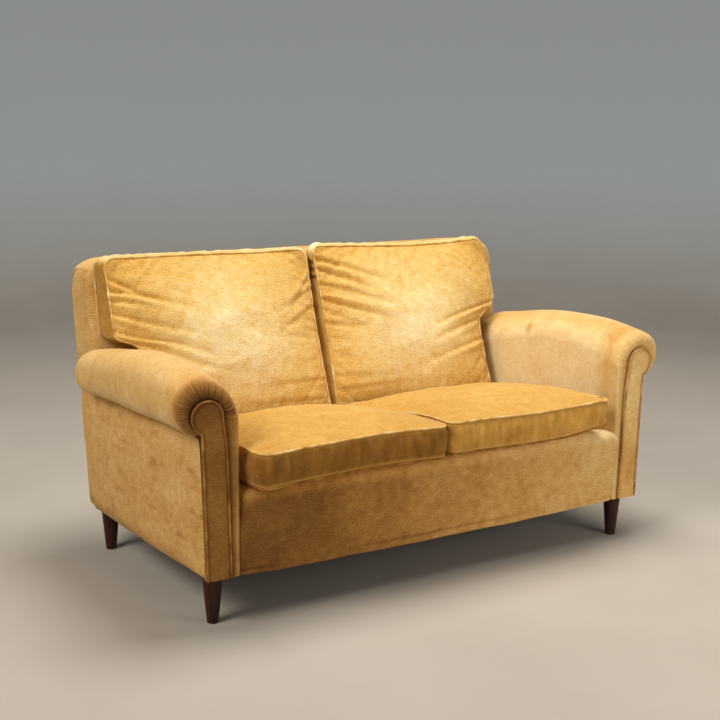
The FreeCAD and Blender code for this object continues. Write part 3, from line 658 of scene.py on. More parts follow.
def back_place(side):
    def place(f, g, h):
        z = BACK_LOW + (BACK_HIGH - BACK_LOW) * g
        bottom, tip, reach, narrowing = EARS[side]
        ear = smooth(bottom - 0.012, tip, z)
        flare = 0.018 * (1 - h) * (side < 0)
        outer = BACK_OUTER + (reach + flare - BACK_OUTER) * ear
        outer -= narrowing * smooth(tip + 0.03, BACK_HIGH, z)
        inner = CUSHION_IN + 0.004
        x = side * (inner + f * (outer - inner)) + BACK_SHIFT
        rear = 0.602 + RAKE * z
        face = 0.413 + 0.3376 * z
        lift = 0.004 * np.sin(f * 5.0 + 1.5 * side) * smooth(0.8, 1.0, g)
        return stack([x, FRONT + rear + (face - rear) * h, z + lift])
    return place


def seat_limit(side):
    def limit(points):
        points = points.copy()
        points[:, 2] = np.maximum(points[:, 2], DECK_TOP + GAP)
        nearest = SEAT_SPANS[side][0] - 0.004
        points[:, 0] = side * np.clip(side * points[:, 0], nearest, ARM_IN - 0.006)
        points[:, 1] = np.minimum(points[:, 1], FRONT + 0.528)
        return points
    return limit


def back_limit(side):
    def limit(points):
        points = points.copy()
        height = points[:, 2]
        points[:, 2] = np.maximum(height, DECK_TOP + GAP)
        points[:, 1] = np.minimum(points[:, 1], FRONT + 0.6035 + RAKE * height)
        low = height < 0.50
        points[low, 1] = np.maximum(points[low, 1], FRONT + 0.530)
        across = side * points[:, 0]
        tuck = 0.007 * gathers_at(height) * (side > 0)
        across = np.maximum(across, side * BACK_SHIFT + GAP + tuck)
        below = height < EARS[side][0]
        across[below] = np.minimum(across[below], ARM_IN - 0.003)
        points[:, 0] = side * across
        return points
    return limit


def seat_tone(cushion, points):
    shade = np.zeros(len(points))
    across = cushion.flat[:, 0] / 0.30
    up = cushion.flat[:, 1] / ((SEAT_REAR - SEAT_FRONT) / 2)
    shade[:cushion.shown_count] = 0.12 * dome(across, up * 0.8, 0.5) - 0.20
    boxing = slice(2 * cushion.shown_count, None)
    # Painted shade on the boxings: both are darkened, the left one more, partly soiling and partly
    # painted shade for the weaker light on the left.
    shade[boxing] = -0.62 if cushion.side < 0 else -0.22
    shade[boxing] += 0.18 * lumps(points[boxing] * (1.0, 1.0, 0.3), 60.0, 5.0)
    return shade


def gathers_at(height):
    """Where the boxing between the two back cushions is gathered up, 0 to 1."""
    return np.exp(-((height[:, None] - GATHERS) / 0.006) ** 2).max(axis=1)


def back_tone(cushion, points):
    shade = np.zeros(len(points))
    across = cushion.flat[:, 0] / (BACK_WIDE / 2)
    up = cushion.flat[:, 1] / 0.25
    worn = np.exp(-((across * 0.9) ** 2 + (up * 0.75 + 0.05) ** 2) * 1.3)
    shade[:cushion.shown_count] = 1.05 * worn - 0.30
    boxing = slice(2 * cushion.shown_count, None)
    # On the boxing: paler along the top, partly worn and partly a painted highlight; paler on the side
    # between the two back cushions, painted light in that gap; darker across the gathers there, painted
    # shade in their folds.
    middle_side = 1 - smooth(0.02, 0.06, np.abs(points[boxing, 0] - BACK_SHIFT))
    shade[boxing] = -0.30 + 0.8 * smooth(0.845, 0.862, points[boxing, 2]) + 0.5 * middle_side
    shade[boxing] -= 1.1 * middle_side * gathers_at(points[boxing, 2])
    return shade


# Where a cover is pulled, its creases run off in a fan. A fan is the edge it starts from (1 outer,
# -1 inner), the heights of its lowest and highest crease from the panel's middle, how many there
# are, how far they reach across, how far they sink on the way, and how deep they are.
LEFT_FANS = (
    (1, 0.10, 0.19, 4, 0.19, 0.065, 0.0090),
    (1, -0.02, 0.05, 3, 0.25, 0.070, 0.0095),
    (-1, 0.08, 0.17, 3, 0.16, 0.100, 0.0070),
    (-1, -0.19, -0.14, 2, 0.33, 0.000, 0.0042),
)
RIGHT_FANS = (
    (-1, 0.10, 0.22, 4, 0.25, 0.120, 0.0105),
    (-1, 0.03, 0.07, 2, 0.14, 0.050, 0.0050),
    (1, -0.07, 0.04, 3, 0.27, 0.070, 0.0085),
    (-1, -0.17, -0.14, 2, 0.35, 0.015, 0.0042),
)
SEAT_FANS = ((-1, 0.20, 0.23, 1, 0.16, -0.040, 0.0030), (1, 0.24, 0.27, 1, 0.20, 0.020, 0.0030))
CREASE_WIDE = 0.0082


def creases_of(fans, half, seed):
    """The creases of some fans: start, bend, end, depth and width of each."""
    chance = np.random.default_rng(seed)
    creases = []
    for edge, low, high, count, reach, sink, depth in fans:
        for height in np.linspace(low, high, count):
            longer, higher, steeper, bowed, deeper = chance.uniform(-1, 1, 5)
            far = reach * (1 + 0.30 * longer)
            height += 0.007 * higher
            end = 0.75 * height + 0.25 * (low + high) / 2 - sink * (1 + 0.35 * steeper)
            start, finish = (edge * half, height), (edge * (half - far), end)
            bend = (edge * (half - 0.5 * far), (height + end) / 2 + 0.012 * bowed)
            creases.append((start, bend, finish, depth * (1 + 0.25 * deeper), CREASE_WIDE))
    return creases


def make_cushions():
    cushions = []
    for side, word in SIDES:
        seat_wide = SEAT_SPANS[side][1] - SEAT_SPANS[side][0]
        seat = Cushion(f"{word}_seat_cushion", side, seat_place(side), seat_wide,
                       SEAT_REAR - SEAT_FRONT, 0.034, 0.026, 0.007, 3.0 + side)
        seat.build(0.75)
        seat.after = (0.022, seat_limit(side), creases_of(SEAT_FANS, 0.28, 1), seat_tone)
        back = Cushion(f"{word}_back_cushion", side, back_place(side), BACK_WIDE,
                       BACK_HIGH - BACK_LOW, 0.030, 0.020, 0.009, 8.0 + side)
        back.build(0.6)
        fans = LEFT_FANS if side < 0 else RIGHT_FANS
        back.after = (0.024, back_limit(side), creases_of(fans, BACK_WIDE / 2, 5 + side), back_tone)
        cushions += [seat, back]
    for cushion in cushions:
        cushion.add_cloth(3.6 if cushion.is_seat else 3.2, 0.012)
    for step in range(CLOTH_STEPS):
        scene.frame_set(step + 1)
    for cushion in cushions:
        cushion.finish(*cushion.after)
    scene.frame_set(1)


# ---- arms

INNER_COUNT, SHOULDER_COUNT, ROLL_COUNT = 22, 54, 112
PLEATS = 29
PLEAT_HIGH = 0.0026
ARM_REAR_ROUND = 0.028
RIM_SHARE = 0.86
roll_depths, roll_radii, roll_middles = (np.array(column) for column in zip(*ARM_ROLL))
RADIUS_CURVE = np.polyfit(roll_depths, roll_radii, 3)
MIDDLE_CURVE = np.polyfit(roll_depths, roll_middles, 3)


def roll_at(depth):
    """Radius of the roll at a depth, and its middle."""
    radius = float(np.polyval(RADIUS_CURVE, depth))
    return radius, (ROLL_OUT - radius, float(np.polyval(MIDDLE_CURVE, depth)))


def arm_section(depth):
    """Outline of the arm, x and z: up the inner face, over the shoulder and round the roll."""
    radius, (middle_x, middle_z) = roll_at(depth)
    shoulder = middle_x - ARM_IN
    bend_from = middle_z + radius - shoulder
    up = run((ARM_IN, UNDERSIDE), (ARM_IN, bend_from), INNER_COUNT)
    over = arc((middle_x, bend_from), shoulder, 180, 90, SHOULDER_COUNT + 1)[1:]
    around = arc((middle_x, middle_z), radius, 90, -112, ROLL_COUNT + 1)[1:]
    return np.concatenate([up, over, around])


def facing_edge():
    """The point of the facing's edge that goes with each point of the arm's outline."""
    up = run((FACING_IN[0], UNDERSIDE), (FACING_IN[1], NECK), INNER_COUNT)
    over = arc(HEAD_MIDDLE, HEAD_RADIUS, 190, 90, SHOULDER_COUNT + 1)[1:]
    around = arc(HEAD_MIDDLE, HEAD_RADIUS, 90, -70, ROLL_COUNT + 1)[1:]
    edge = np.concatenate([up, over, around])
    count = 6
    for place in range(INNER_COUNT - count, INNER_COUNT + count):
        edge[place] = edge[place - 2:place + 3].mean(axis=0)
    return edge


def outward_of(section):
    """Unit normals of an outline, away from the arm."""
    ahead = np.gradient(section, axis=0)
    normal = stack([-ahead[:, 1], ahead[:, 0]])
    return normal / np.maximum(np.linalg.norm(normal, axis=1), TINY)[:, None]


class Arm:
    """The cover of one arm, made of rows of points that run from its rear cap to its front rim."""

    def __init__(self, side):
        self.side = side
        self.edge = facing_edge()
        self.count = len(self.edge)
        self.share = np.arange(self.count)
        self.plain = np.zeros(self.count)
        self.on_head = smooth(INNER_COUNT - 4, INNER_COUNT + 12, self.share)
        self.front_round = 0.010 + 0.010 * self.on_head
        # The right arm's front is paled as painted light from the right, with less soiling; the left one
        # is a little darker, painted shade. grubby is soiling on the arm's head.
        self.grubby, self.fair = (1.0, -0.12) if side < 0 else (0.1, 0.42)
        self.pleat = self.make_pleats()
        self.rows, self.weaves, self.tones = [], [], []

    def make_pleats(self):
        """Height of the pleats round the head: saw teeth of uneven width."""
        phase = PLEATS * (self.share - INNER_COUNT) / (SHOULDER_COUNT + ROLL_COUNT)
        phase = phase + 0.25 * np.sin(phase * 2.1) + 0.2 * np.sin(phase * 0.7 + 1)
        tooth = phase % 1.0
        return (tooth ** 1.6 - 0.4) * self.on_head * (0.7 + 0.3 * np.sin(phase * 1.3))

    def wear(self):
        """How pale the nap is round the arm, away from its front. The left arm is worn evenly; the right
        arm is paler on its inner side, partly worn and partly painted light, and darker over its crown as
        painted shade.
        """
        if self.side < 0:
            return 0.24
        crest = INNER_COUNT + SHOULDER_COUNT
        # Painted shade over the right arm's crown, where the light falls strongest.
        crown = 0.60 * np.exp(-((self.share - crest + 14) / 22) ** 2)
        outer = smooth(crest, self.count - 0.4 * ROLL_COUNT, self.share)
        return 0.85 * (1 - 0.8 * outer) - crown

    def add_row(self, section, depth, tone, along):
        self.rows.append(stack([self.side * section[:, 0], FRONT + depth, section[:, 1]]))
        self.weaves.append(woven(along, section))
        self.tones.append(tone)

    def add_rear_cap(self):
        tail = arm_section(ARM_END)
        middle = np.full(self.count, roll_at(ARM_END)[1][0] - 0.02)
        heart = stack([middle, np.minimum(tail[:, 1], 0.545)])
        for part in (0.0, 0.45, 0.8):
            section = heart + (tail - outward_of(tail) * ARM_REAR_ROUND - heart) * part
            self.add_row(section, self.plain + ARM_END, self.plain, ARM_END)
        for angle in np.radians((90, 68, 46, 24)):
            depth = ARM_END - ARM_REAR_ROUND * (1 - math.sin(angle))
            inset = ARM_REAR_ROUND * (1 - math.cos(angle))
            section = arm_section(depth)
            self.add_row(section - outward_of(section) * inset, self.plain + depth, self.plain, depth)

    def add_length(self):
        wear = self.wear()
        inside = self.share < INNER_COUNT + SHOULDER_COUNT
        for depth in np.linspace(ARM_END - ARM_REAR_ROUND, 0.034, 50):
            section = arm_section(depth)
            near = 1 - smooth(0.02, 0.055, depth)
            tone = wear * smooth(0.0, 0.12, depth) + self.fair * near
            tone = tone - 0.10 * self.grubby * self.on_head * near
            if self.side > 0:
                tone -= 0.9 * inside * stain(section[:, 1], depth)
            section = section + outward_of(section) * (0.0008 * self.pleat * near)[:, None]
            self.add_row(section, self.plain + depth, tone, depth)

    def add_front_round(self, width):
        """The pleated cloth where it turns from the arm to the front."""
        for angle in np.radians((12, 24, 36, 48, 60, 72, 82)):
            depth = self.front_round * (1 - math.sin(angle))
            section = arm_section(float(depth.max()))
            inset = np.minimum(self.front_round, RIM_SHARE * width) * (1 - math.cos(angle))
            ripple = PLEAT_HIGH * self.pleat * math.sin(angle)
            tone = self.fair - self.grubby * (0.14 + 0.30 * math.sin(angle)) * self.on_head
            # Painted shade on the pleats: the tone follows their relief.
            tone = tone - 0.5 * self.pleat * math.sin(angle)
            place = section - outward_of(section) * (inset - ripple * math.cos(angle))[:, None]
            self.add_row(place, depth - ripple * math.sin(angle), tone, depth)

    def add_rim(self, front, width):
        """The pleated cloth in front, drawn in to the facing."""
        inset = np.minimum(self.front_round, RIM_SHARE * width)
        start = front - outward_of(front) * inset[:, None]
        for part in (0.25, 0.5, 0.75, 1.0):
            section = start + (self.edge - start) * part
            relief = PLEAT_HIGH * self.pleat * (1 - 0.6 * part)
            tone = self.fair - 0.40 * self.grubby * self.on_head - 0.15
            # Painted shade: darker on the pleats, and deepening into the seam with the facing.
            tone = tone - 0.5 * self.pleat - 0.6 * part ** 3
            self.add_row(section, 0.008 * part ** 2 - relief, tone, -0.03 * part)

    def unevenness(self, points):
        """Small outward moves that take the machined look off the cover."""
        away = np.concatenate([outward_of(row[:, (0, 2)] * (self.side, 1)) for row in self.rows])
        soft_end = smooth(FRONT + 0.01, FRONT + 0.08, points[:, 1])
        rise = 0.0022 * lumps(points, 7.0, 2.0 + self.side) * soft_end
        return stack([self.side * away[:, 0], np.zeros(len(points)), away[:, 1]]) * rise[:, None]

    def build(self, word):
        self.add_rear_cap()
        self.add_length()
        front = arm_section(0.0)
        width = np.linalg.norm(front - self.edge, axis=1)
        self.add_front_round(width)
        self.add_rim(front, width)
        points = np.concatenate(self.rows)
        points = points + self.unevenness(points)
        tone = np.concatenate(self.tones) + 0.15 * lumps(points, 11.0, 5.0 + self.side)
        faces = grid_faces(len(self.rows), self.count)
        add_padded(f"{word}_arm_cover", points, faces, "body_velvet", np.concatenate(self.weaves),
                   [f"{word}_arm_pad"], tone, finish="arm_velvet")


def stain(height, depth):
    """The one stain, on the inside of the right arm."""
    return np.exp(-((height - 0.600) / 0.016) ** 2 - ((depth - 0.42) / 0.010) ** 2)


def facing_tone(side, points, outline_count):
    """The left facing is darkened by soiling and painted shade, and the right one paled by painted light
    with less soiling, less so towards its foot.
    """
    height = points[:, 2]
    tone = 0.2 * lumps(points, 9.0, 1.0 + side) - 0.2 * smooth(0.50, 0.58, height)
    tone += -0.48 if side < 0 else 0.50 - 0.35 * (1 - smooth(0.22, 0.45, height))
    # Painted shade in the groove beside the facing: its board's side rows are darker, the left ones much
    # more.
    tone[:3 * outline_count] -= 0.7 if side < 0 else 0.1
    return tone


def make_facing(side, word):
    """The padded board in the arm's front, and the welt round it."""
    down = run((FACING_OUT[1], NOTCH), (FACING_OUT[0], UNDERSIDE), 34)
    outline = np.concatenate([facing_edge(), down[1:]])
    height = outline[:, 1]
    middle = (FACING_IN[0] + FACING_OUT[0]) / 2 + 0.012 * smooth(0.2, 0.5, height)
    head = smooth(0.44, 0.53, height)[:, None]
    spine = stack([middle, height]) * (1 - head) + np.array(HEAD_MIDDLE) * head
    rows = [(0.0, BOARD_DEEP), (0.0, 0.022), (0.0, 0.010), (0.02, 0.003)]
    for part in np.linspace(0.06, 1.0, 12):
        rows.append((part, 0.003 - 0.0065 * math.sin(math.pi / 2 * min(part * 1.5, 1.0)) ** 0.8))
    sections = [outline + (spine - outline) * inset for inset, depth in rows]
    points = np.concatenate([
        stack([side * section[:, 0], np.full(len(section), FRONT + depth), section[:, 1]])
        for section, (inset, depth) in zip(sections, rows)])
    points[:, 1] += 0.0012 * lumps(points, 14.0, 9.0 + side)
    add_padded(f"{word}_facing_cover", points, grid_faces(len(rows), len(outline)), "body_velvet",
               points[:, (0, 2)], [f"{word}_arm_facing"], facing_tone(side, points, len(outline)))
    trail = (outline + (spine - outline) * 0.05)[::2]
    cord = [(side * x, FRONT - 0.0012, z) for x, z in trail]
    # The right welt's paler cord is painted light; the left's darker one is soiling and painted shade.
    finish = "body_cord" if side < 0 else "fair_cord"
    welt = add_cord(f"{word}_facing_welt", cord, 0.0026, "frame", False, finish)
    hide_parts(f"{word}_arm_welt")


def grid_shares(columns, rows):
    """Shares from 0 to 1 across and up a grid, for each of its points."""
    return (axis.ravel() for axis in np.meshgrid(np.linspace(0, 1, columns), np.linspace(0, 1, rows)))


def pad_grid(name, place, size, thick, swell, edge, replaced, tone, seed, slot="body_velvet"):
    """A padded panel. place(u, v) gives its points before padding, their outward directions and
    their distance to its rim; the rim turns in by thick over edge."""
    u, v = grid_shares(*size)
    points, out, distance = place(u, v)
    middle = (4 * u * (1 - u)) ** 0.5 * (4 * v * (1 - v)) ** 0.5
    rise = swell * middle - rim_drop(distance, edge) * thick / edge + 0.0018 * lumps(points, 8.0, seed)
    points = points + out * rise[:, None]
    level = abs(out[len(out) // 2][2]) > 0.8
    along = points[:, (0, 1)] if level else stack([points[:, 0] + points[:, 1], points[:, 2]])
    columns, rows = size
    add_padded(name, points, grid_faces(rows, columns), slot, along, replaced, tone(points))


def make_outside_arm(side, word):
    """The upholstered panel outside an arm, which turns the corner at the back."""
    start = 0.004

    def place(u, v):
        rear = BACK_REAR + RAKE * (UNDERSIDE + v * (PANEL_TOP - UNDERSIDE))
        depth = start + u * (rear - start)
        top = 0.503 - 0.020 * smooth(0.0, 0.75, depth) + 0.018 * (1 - smooth(0.01, 0.07, depth))
        sag = 0.009 * smooth(0.03, 0.35, depth)
        height = UNDERSIDE + v * (top - UNDERSIDE) - sag * (1 - v) ** 2
        turn = np.clip((depth - (rear - CORNER_ROUND)) / CORNER_ROUND, 0.0, 1.0)
        fall = CORNER_ROUND * (1 - np.sqrt(1 - turn ** 2 + TINY))
        x = PANEL_OUT - 0.001 - fall + 0.004 * v * (1 - smooth(0.01, 0.09, depth))
        angle = turn * math.pi / 2
        out = stack([side * np.cos(angle), np.sin(angle), np.zeros_like(u)])
        distance = np.minimum(depth - start, np.minimum(height - UNDERSIDE, 1.0))
        return stack([side * x, FRONT + depth, height]), out, distance

    def tone(points):
        scuff = 0.22 * lumps(points, 9.0, 4.0 + side) - 0.15 * smooth(0.30, 0.7, lumps(points, 45.0, 6.0))
        scuff -= 0.22 * smooth(0.15, 0.75, lumps(points * (1.0, 0.35, 2.0), 38.0, 7.0))
        return 0.08 + scuff - 0.35 * (1 - smooth(0.0, 0.05, points[:, 2] - UNDERSIDE))

    pad_grid(f"{word}_outside_arm_cover", place, (96, 48), 0.012, 0.013, 0.016,
             [f"{word}_outside_arm"], tone, 3.0 + side)


# ---- back

OUTSIDE_TOP = 0.800


def back_top_at(lean):
    """Height of the top of the back over a depth, taken without the rake."""
    face = np.clip((BACK_FACE + FACE_ROUND - lean) / FACE_ROUND, 0.0, 1.0)
    rear = np.clip((lean - BACK_REAR + REAR_ROUND) / REAR_ROUND, 0.0, 1.0)
    drop = FACE_ROUND * (1 - np.sqrt(1 - face ** 2)) + REAR_ROUND * (1 - np.sqrt(1 - rear ** 2))
    return BACK_TOP - drop


def top_rounding(height):
    """How far the top corner of the back has come in at a height, kept short of level."""
    share = np.clip((height - BACK_TOP + TOP_CORNER) / TOP_CORNER, 0.0, 0.97)
    return TOP_CORNER * (1 - np.sqrt(1 - share ** 2))


def back_path():
    """Side outline of the back cover, up its face, over the top and down to the rear seam."""
    up = run((BACK_FACE, 0.33), (BACK_FACE, BACK_TOP - FACE_ROUND), 30)
    front = arc((BACK_FACE + FACE_ROUND, BACK_TOP - FACE_ROUND), FACE_ROUND, 180, 90, 7)[1:]
    over = run((BACK_FACE + FACE_ROUND, BACK_TOP), (BACK_REAR - REAR_ROUND, BACK_TOP), 8)[1:]
    rear = arc((BACK_REAR - REAR_ROUND, BACK_TOP - REAR_ROUND), REAR_ROUND, 90, 0, 12)[1:]
    down = run((BACK_REAR, BACK_TOP - REAR_ROUND), (BACK_REAR, 0.755), 5)[1:]
    return np.concatenate([up, front, over, rear, down])


def make_back():
    """The inside back: its cover runs over the top, and is drawn in round both its ends."""
    path = back_path()
    normal = outward_of(path)
    columns = 150
    half = BORDER_OUT + 0.004
    end = -half + 0.034 * np.linspace(0, 1, 12)[:-1] ** 1.6
    inner = np.linspace(-half + 0.034, half - 0.034, columns - 22)
    rows, weaves = [], []
    for x in np.concatenate([end, inner, -end[::-1]]):
        line = path - normal * rim_drop(half - abs(x), 0.030) * 0.95
        lean = line[:, 0] + RAKE * line[:, 1]
        near = x * (1 - top_rounding(line[:, 1]) / half)
        rows.append(stack([near, FRONT + lean, line[:, 1]]))
        weaves.append(woven(x, path))
    points = np.concatenate(rows)
    spread = np.tile(stack([np.zeros(len(path)), normal]), (columns, 1))
    points = points + spread * (0.003 * lumps(points, 6.0, 12.0))[:, None]
    tone = 0.1 + 0.2 * lumps(points, 8.0, 13.0)
    add_padded("inside_back_cover", points, grid_faces(columns, len(path)), "body_velvet",
               np.concatenate(weaves), ["inside_back_pad"], tone)


def make_back_border(side, word):
    """The strip up the side of the back, above the arm."""
    inset = 0.021
    wide = BACK_REAR - BACK_FACE - 2 * inset

    def place(u, v):
        lean = BACK_FACE + inset + u * wide
        low = 0.47
        top = back_top_at(lean + 0.018 * (2 * u - 1)) - inset
        height = low + v * (top - low)
        lean += u * 0.019 * (1 - smooth(0.765, 0.788, height))
        x = side * (BORDER_OUT + 0.0015 - top_rounding(height))
        out = np.tile([float(side), 0.0, 0.0], (len(u), 1))
        distance = np.minimum.reduce([u * wide, (1 - u) * wide, top - height])
        return stack([x, FRONT + lean + RAKE * height, height]), out, distance

    def tone(points):
        return 0.15 + 0.3 * lumps(points, 14.0, 15.0 + side)

    pad_grid(f"{word}_back_border_cover", place, (26, 52), 0.006, 0.006, 0.010,
             [f"{word}_back_border"], tone, 14.0 + side)


def make_outside_back():
    """The panel that closes the rear, sewn on by hand."""
    half = PANEL_OUT - CORNER_ROUND + 0.002

    def place(u, v):
        height = UNDERSIDE + v * (OUTSIDE_TOP - UNDERSIDE)
        wide = half + (BORDER_OUT - 0.003 - half) * smooth(0.47, 0.49, height)
        x = (2 * u - 1) * wide
        out = np.tile([0.0, 0.988, -0.153], (len(u), 1))
        distance = np.minimum.reduce([wide - np.abs(x), OUTSIDE_TOP - height, height - UNDERSIDE + 0.004])
        return stack([x, FRONT + BACK_REAR + RAKE * height, height]), out, distance

    def tone(points):
        return 0.05 + 0.25 * lumps(points, 7.0, 21.0)

    pad_grid("outside_back_cover", place, (130, 62), 0.005, 0.007, 0.010,
             ["outside_back_panel"], tone, 20.0)


# ---- front border, deck and underside

BORDER_ROUND = 0.026
BORDER_CORNER = 0.030
BORDER_DEEP = 0.062


def border_path():
    """Side outline of the front border: up its face, over its top and down behind it."""
    up = run((0.0, UNDERSIDE), (0.0, DECK_TOP - BORDER_ROUND), 30)
    over = arc((BORDER_ROUND, DECK_TOP - BORDER_ROUND), BORDER_ROUND, 180, 90, 9)[1:]
    back = run((BORDER_ROUND, DECK_TOP), (BORDER_DEEP, DECK_TOP), 5)[1:]
    under = run((BORDER_DEEP, DECK_TOP), (BORDER_DEEP, DECK_TOP - 0.03), 3)[1:]
    return np.concatenate([up, over, back, under])


def border_row(path, x):
    """The border's outline at x: padded, rounded at the top corners, waved and sagging below."""
    height = path[:, 1]
    arch = math.sin(math.pi * (x + ARM_IN) / (2 * ARM_IN))
    over_band = smooth(ARM_IN - 0.13, ARM_IN, x) * smooth(0.03, 0.20, height - UNDERSIDE)
    near = np.clip((abs(x) - (ARM_IN - BORDER_CORNER)) / BORDER_CORNER, 0.0, 1.0)
    fall = BORDER_CORNER * (1 - math.sqrt(1 - near ** 2)) * smooth(DECK_TOP - 0.11, DECK_TOP, height)
    rise = 0.006 * arch ** 0.4 * np.sin(np.pi * np.clip((height - UNDERSIDE) / 0.22, 0, 1)) ** 0.6
    line = path + outward_of(path) * rise[:, None]
    line[:, 1] -= fall * 0.7
    line[:, 0] += fall * 0.6 + 0.004 * near ** 2
    line[:, 1] -= 0.013 * over_band * smooth(DECK_TOP - 0.06, DECK_TOP, line[:, 1])
    foot = line[:, 1] - UNDERSIDE
    wave = 0.0005 * (math.sin(x * 17) + math.sin(x * 41 + 1)) * (1 - smooth(0.0, 0.03, foot))
    line[:, 1] += wave - 0.007 * arch ** 0.7 * (1 - smooth(0.0, 0.09, foot))
    return stack([x + 0.026 * over_band, FRONT + line[:, 0] - 0.007 * over_band, line[:, 1]])


def make_front_border():
    """The strip under the seat cushions, with a line of stitches along its foot."""
    path = border_path()
    stations = np.linspace(-ARM_IN, ARM_IN, 150)
    points = np.concatenate([border_row(path, x) for x in stations])
    points[:, 1] += 0.0028 * lumps(points, 8.0, 30.0)
    stitch = np.exp(-((points[:, 2] - UNDERSIDE - 0.013) / 0.0022) ** 2)
    points[:, 1] += 0.0012 * stitch
    tone = -0.18 + 0.12 * lumps(points, 10.0, 31.0) + 0.12 * lumps(points, 45.0, 32.0) - 0.3 * stitch
    # Painted highlight: paler along the rounded top, more so towards its ends.
    ends = smooth(ARM_IN - 0.09, ARM_IN - 0.03, np.abs(points[:, 0]))
    tone += (0.25 + 0.15 * ends) * smooth(DECK_TOP - 0.05, DECK_TOP - 0.01, points[:, 2])
    # Paler to the right and darker to the left: partly soiling, partly painted light and shade for the
    # light falling from the right.
    tone += 0.45 * smooth(-0.1, ARM_IN, points[:, 0]) - 0.42 * (1 - smooth(-ARM_IN, 0.0, points[:, 0]))
    weave = np.concatenate([woven(x, path) for x in stations])
    add_padded("front_border_cover", points, grid_faces(len(stations), len(path)), "body_velvet",
               weave, ["front_border"], tone)


def make_deck():
    """The cloth-covered pad under the seat cushions."""
    low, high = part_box("seat_deck_pad")

    def place(u, v):
        x = low.x + u * (high.x - low.x)
        y = low.y + v * (high.y - low.y)
        points = stack([x, y, np.full(len(u), high.z - 0.004)])
        out = np.tile([0.0, 0.0, 1.0], (len(u), 1))
        distance = np.minimum.reduce([x - low.x, high.x - x, y - low.y, high.y - y])
        return points, out, distance

    pad_grid("seat_deck_cover", place, (90, 50), 0.020, 0.002, 0.020, ["seat_deck_pad"],
             lambda points: np.zeros(len(points)), 33.0, "deck_cloth")


def make_dust_cover():
    """The thin cloth stapled under the sofa, cut round the legs and sagging a little."""
    low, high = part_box("dust_cover")
    half = high.x - 0.006
    front, rear = low.y + 0.004, high.y - 0.004
    columns, rows = 96, 48
    keep_out = [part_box(f"{end}_{word}_leg") for end in ("front", "rear") for _, word in SIDES]
    clear = 0.030
    u, v = grid_shares(columns, rows)
    x, y = -half + 2 * half * u, front + (rear - front) * v
    sag = 0.006 * dome(2 * u - 1, 2 * v - 1, 0.7)
    points = stack([x, y, np.full(len(u), high.z - 0.0008) - sag])
    points[:, 2] += 0.0006 * lumps(points, 18.0, 40.0)
    faces = []
    for face in grid_faces(rows, columns):
        middle = points[list(face)].mean(axis=0)
        if not any(a.x - clear < middle[0] < b.x + clear and a.y - clear < middle[1] < b.y + clear
                   for a, b in keep_out):
            faces.append(face)
    weave = points[:, (0, 1)]
    piece = add_piece("dust_cover_cloth", points, faces, "frame", "dust_cloth", weave, levels=0)
    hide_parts("dust_cover")


# ---- finishes of the carried-over parts

NODE_FINISH = {
    "leg": "leg_wood", "post": "frame_wood", "rail": "frame_wood", "braces": "frame_wood",
    "block": "frame_wood", "dowels": "frame_wood", "rails": "frame_wood", "straps": "webbing",
    "bolts": "steel", "plates": "steel", "screws": "steel",
}


def finish_nodes():
    for name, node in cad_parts.items():
        slot = NODE_FINISH.get(name.split("_")[-1])
        if slot:
            node.data.materials.clear()
            node.data.materials.append(FINISHES[slot])


def hide_sewn_nodes():
    """The CAD pipings are stood for by the cords that follow the swollen seams."""
    for _, word in SIDES:
        for part in ("seat", "back"):
            name = f"{word}_{part}_cushion"
            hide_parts(f"{name}_piping")


# ---- stage

CAMERA_ANGLES = (-33.054, 10.816, 0.624)
CAMERA_LENS = 65.1
CAMERA_PLACE = (-2.0817, FRONT - 2.7638, 1.2790)


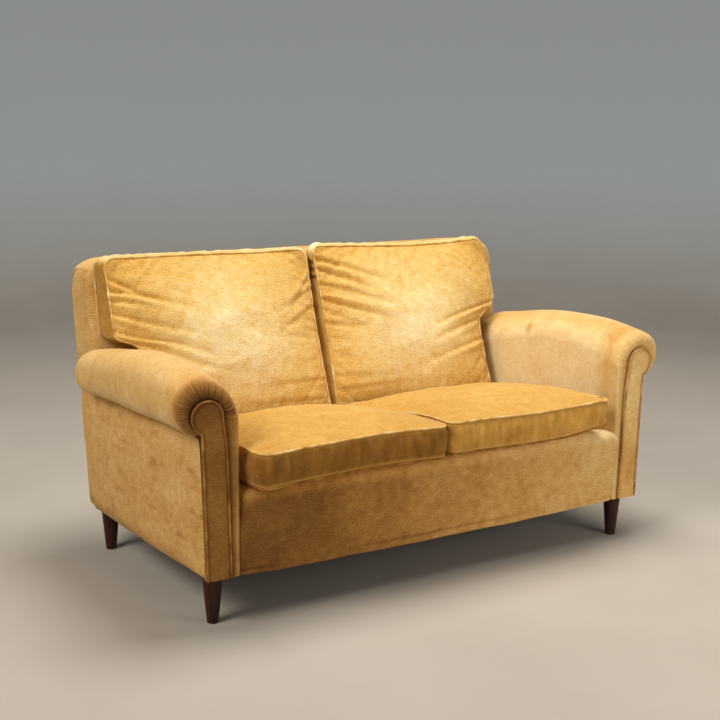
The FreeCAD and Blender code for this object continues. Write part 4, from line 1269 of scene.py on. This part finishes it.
def make_floor():
    """A pale floor that sweeps up into a plain wall all round, far from the sofa."""
    reach, bend, high = 6.0, 1.5, 5.0
    sweep = [(0.001, 0.0)] + [(r, 0.0) for r in np.linspace(0.6, reach - bend, 8)]
    sweep += [tuple(point) for point in arc((reach - bend, bend), bend, -90, 0, 14)[1:]]
    sweep += [(reach, high)]
    around = np.radians(np.arange(0, 360, 5))
    points = [(r * math.cos(a), r * math.sin(a), z) for r, z in sweep for a in around]
    mesh = bpy.data.meshes.new("floor")
    mesh.from_pydata(points, [], grid_faces(len(sweep), len(around), closed=True))
    mesh.polygons.foreach_set("use_smooth", [True] * len(mesh.polygons))
    floor = add_object("floor", mesh)
    shader = Shader("floor")
    place = shader.place()
    cloudy = shader.noise(place, 1.3, 4.0)
    pale = shader.ramp(cloudy, ((0.3, "a89d90"), (0.7, "b1a699")))
    height = shader.split(place)["Z"]
    wall = shader.maths("MULTIPLY", height, 1.2)
    wall.node.use_clamp = True
    shader.set(Base_Color=shader.mix(wall, pale, linear("b4bbbf")), Roughness=0.8)
    mesh.materials.append(shader.material)


def add_light(name, place, aim, size, power, tint):
    data = bpy.data.lights.new(name, "AREA")
    data.shape = "DISK"
    data.size = size
    data.energy = power
    data.color = tint
    light = add_object(name, data)
    light.location = place
    light.rotation_mode = "QUATERNION"
    light.rotation_quaternion = (Vector(aim) - Vector(place)).to_track_quat("-Z", "Y")


def make_light():
    add_light("key", (-5.0, -1.3, 4.6), (0.0, 0.0, 0.4), 2.8, 270, (1.0, 0.97, 0.92))
    add_light("top", (0.5, 0.1, 3.8), (0.3, 0.0, 0.4), 2.0, 142, (1.0, 1.0, 0.97))
    add_light("fill", (1.2, -2.6, 0.8), (0.5, 0.0, 0.35), 1.2, 25, (1.0, 0.96, 0.87))
    world = bpy.data.worlds.new("room")
    world.use_nodes = True
    world.node_tree.nodes["Background"].inputs["Color"].default_value = (0.60, 0.63, 0.66, 1.0)
    world.node_tree.nodes["Background"].inputs["Strength"].default_value = 0.12
    scene.world = world


def make_camera():
    azimuth, pitch, roll = (math.radians(angle) for angle in CAMERA_ANGLES)
    level = math.cos(pitch)
    away = Vector((math.sin(azimuth) * level, -math.cos(azimuth) * level, math.sin(pitch)))
    right = (-away).cross(Vector((0, 0, 1))).normalized()
    up = right.cross(-away)
    across = right * math.cos(roll) + up * math.sin(roll)
    above = up * math.cos(roll) - right * math.sin(roll)
    data = bpy.data.cameras.new("camera")
    data.sensor_width = 36
    data.lens = CAMERA_LENS
    camera = add_object("camera", data)
    turn = Matrix((across, above, away)).transposed().to_4x4()
    camera.matrix_world = Matrix.Translation(CAMERA_PLACE) @ turn
    scene.camera = camera


make_camera()
finish_nodes()
make_cushions()
for arm_side, arm_word in SIDES:
    Arm(arm_side).build(arm_word)
    make_facing(arm_side, arm_word)
    make_outside_arm(arm_side, arm_word)
make_back()
for border_side, border_word in SIDES:
    make_back_border(border_side, border_word)
make_outside_back()
make_front_border()
make_deck()
make_dust_cover()
hide_sewn_nodes()
make_floor()
make_light()
scene.view_settings.view_transform = "Standard"
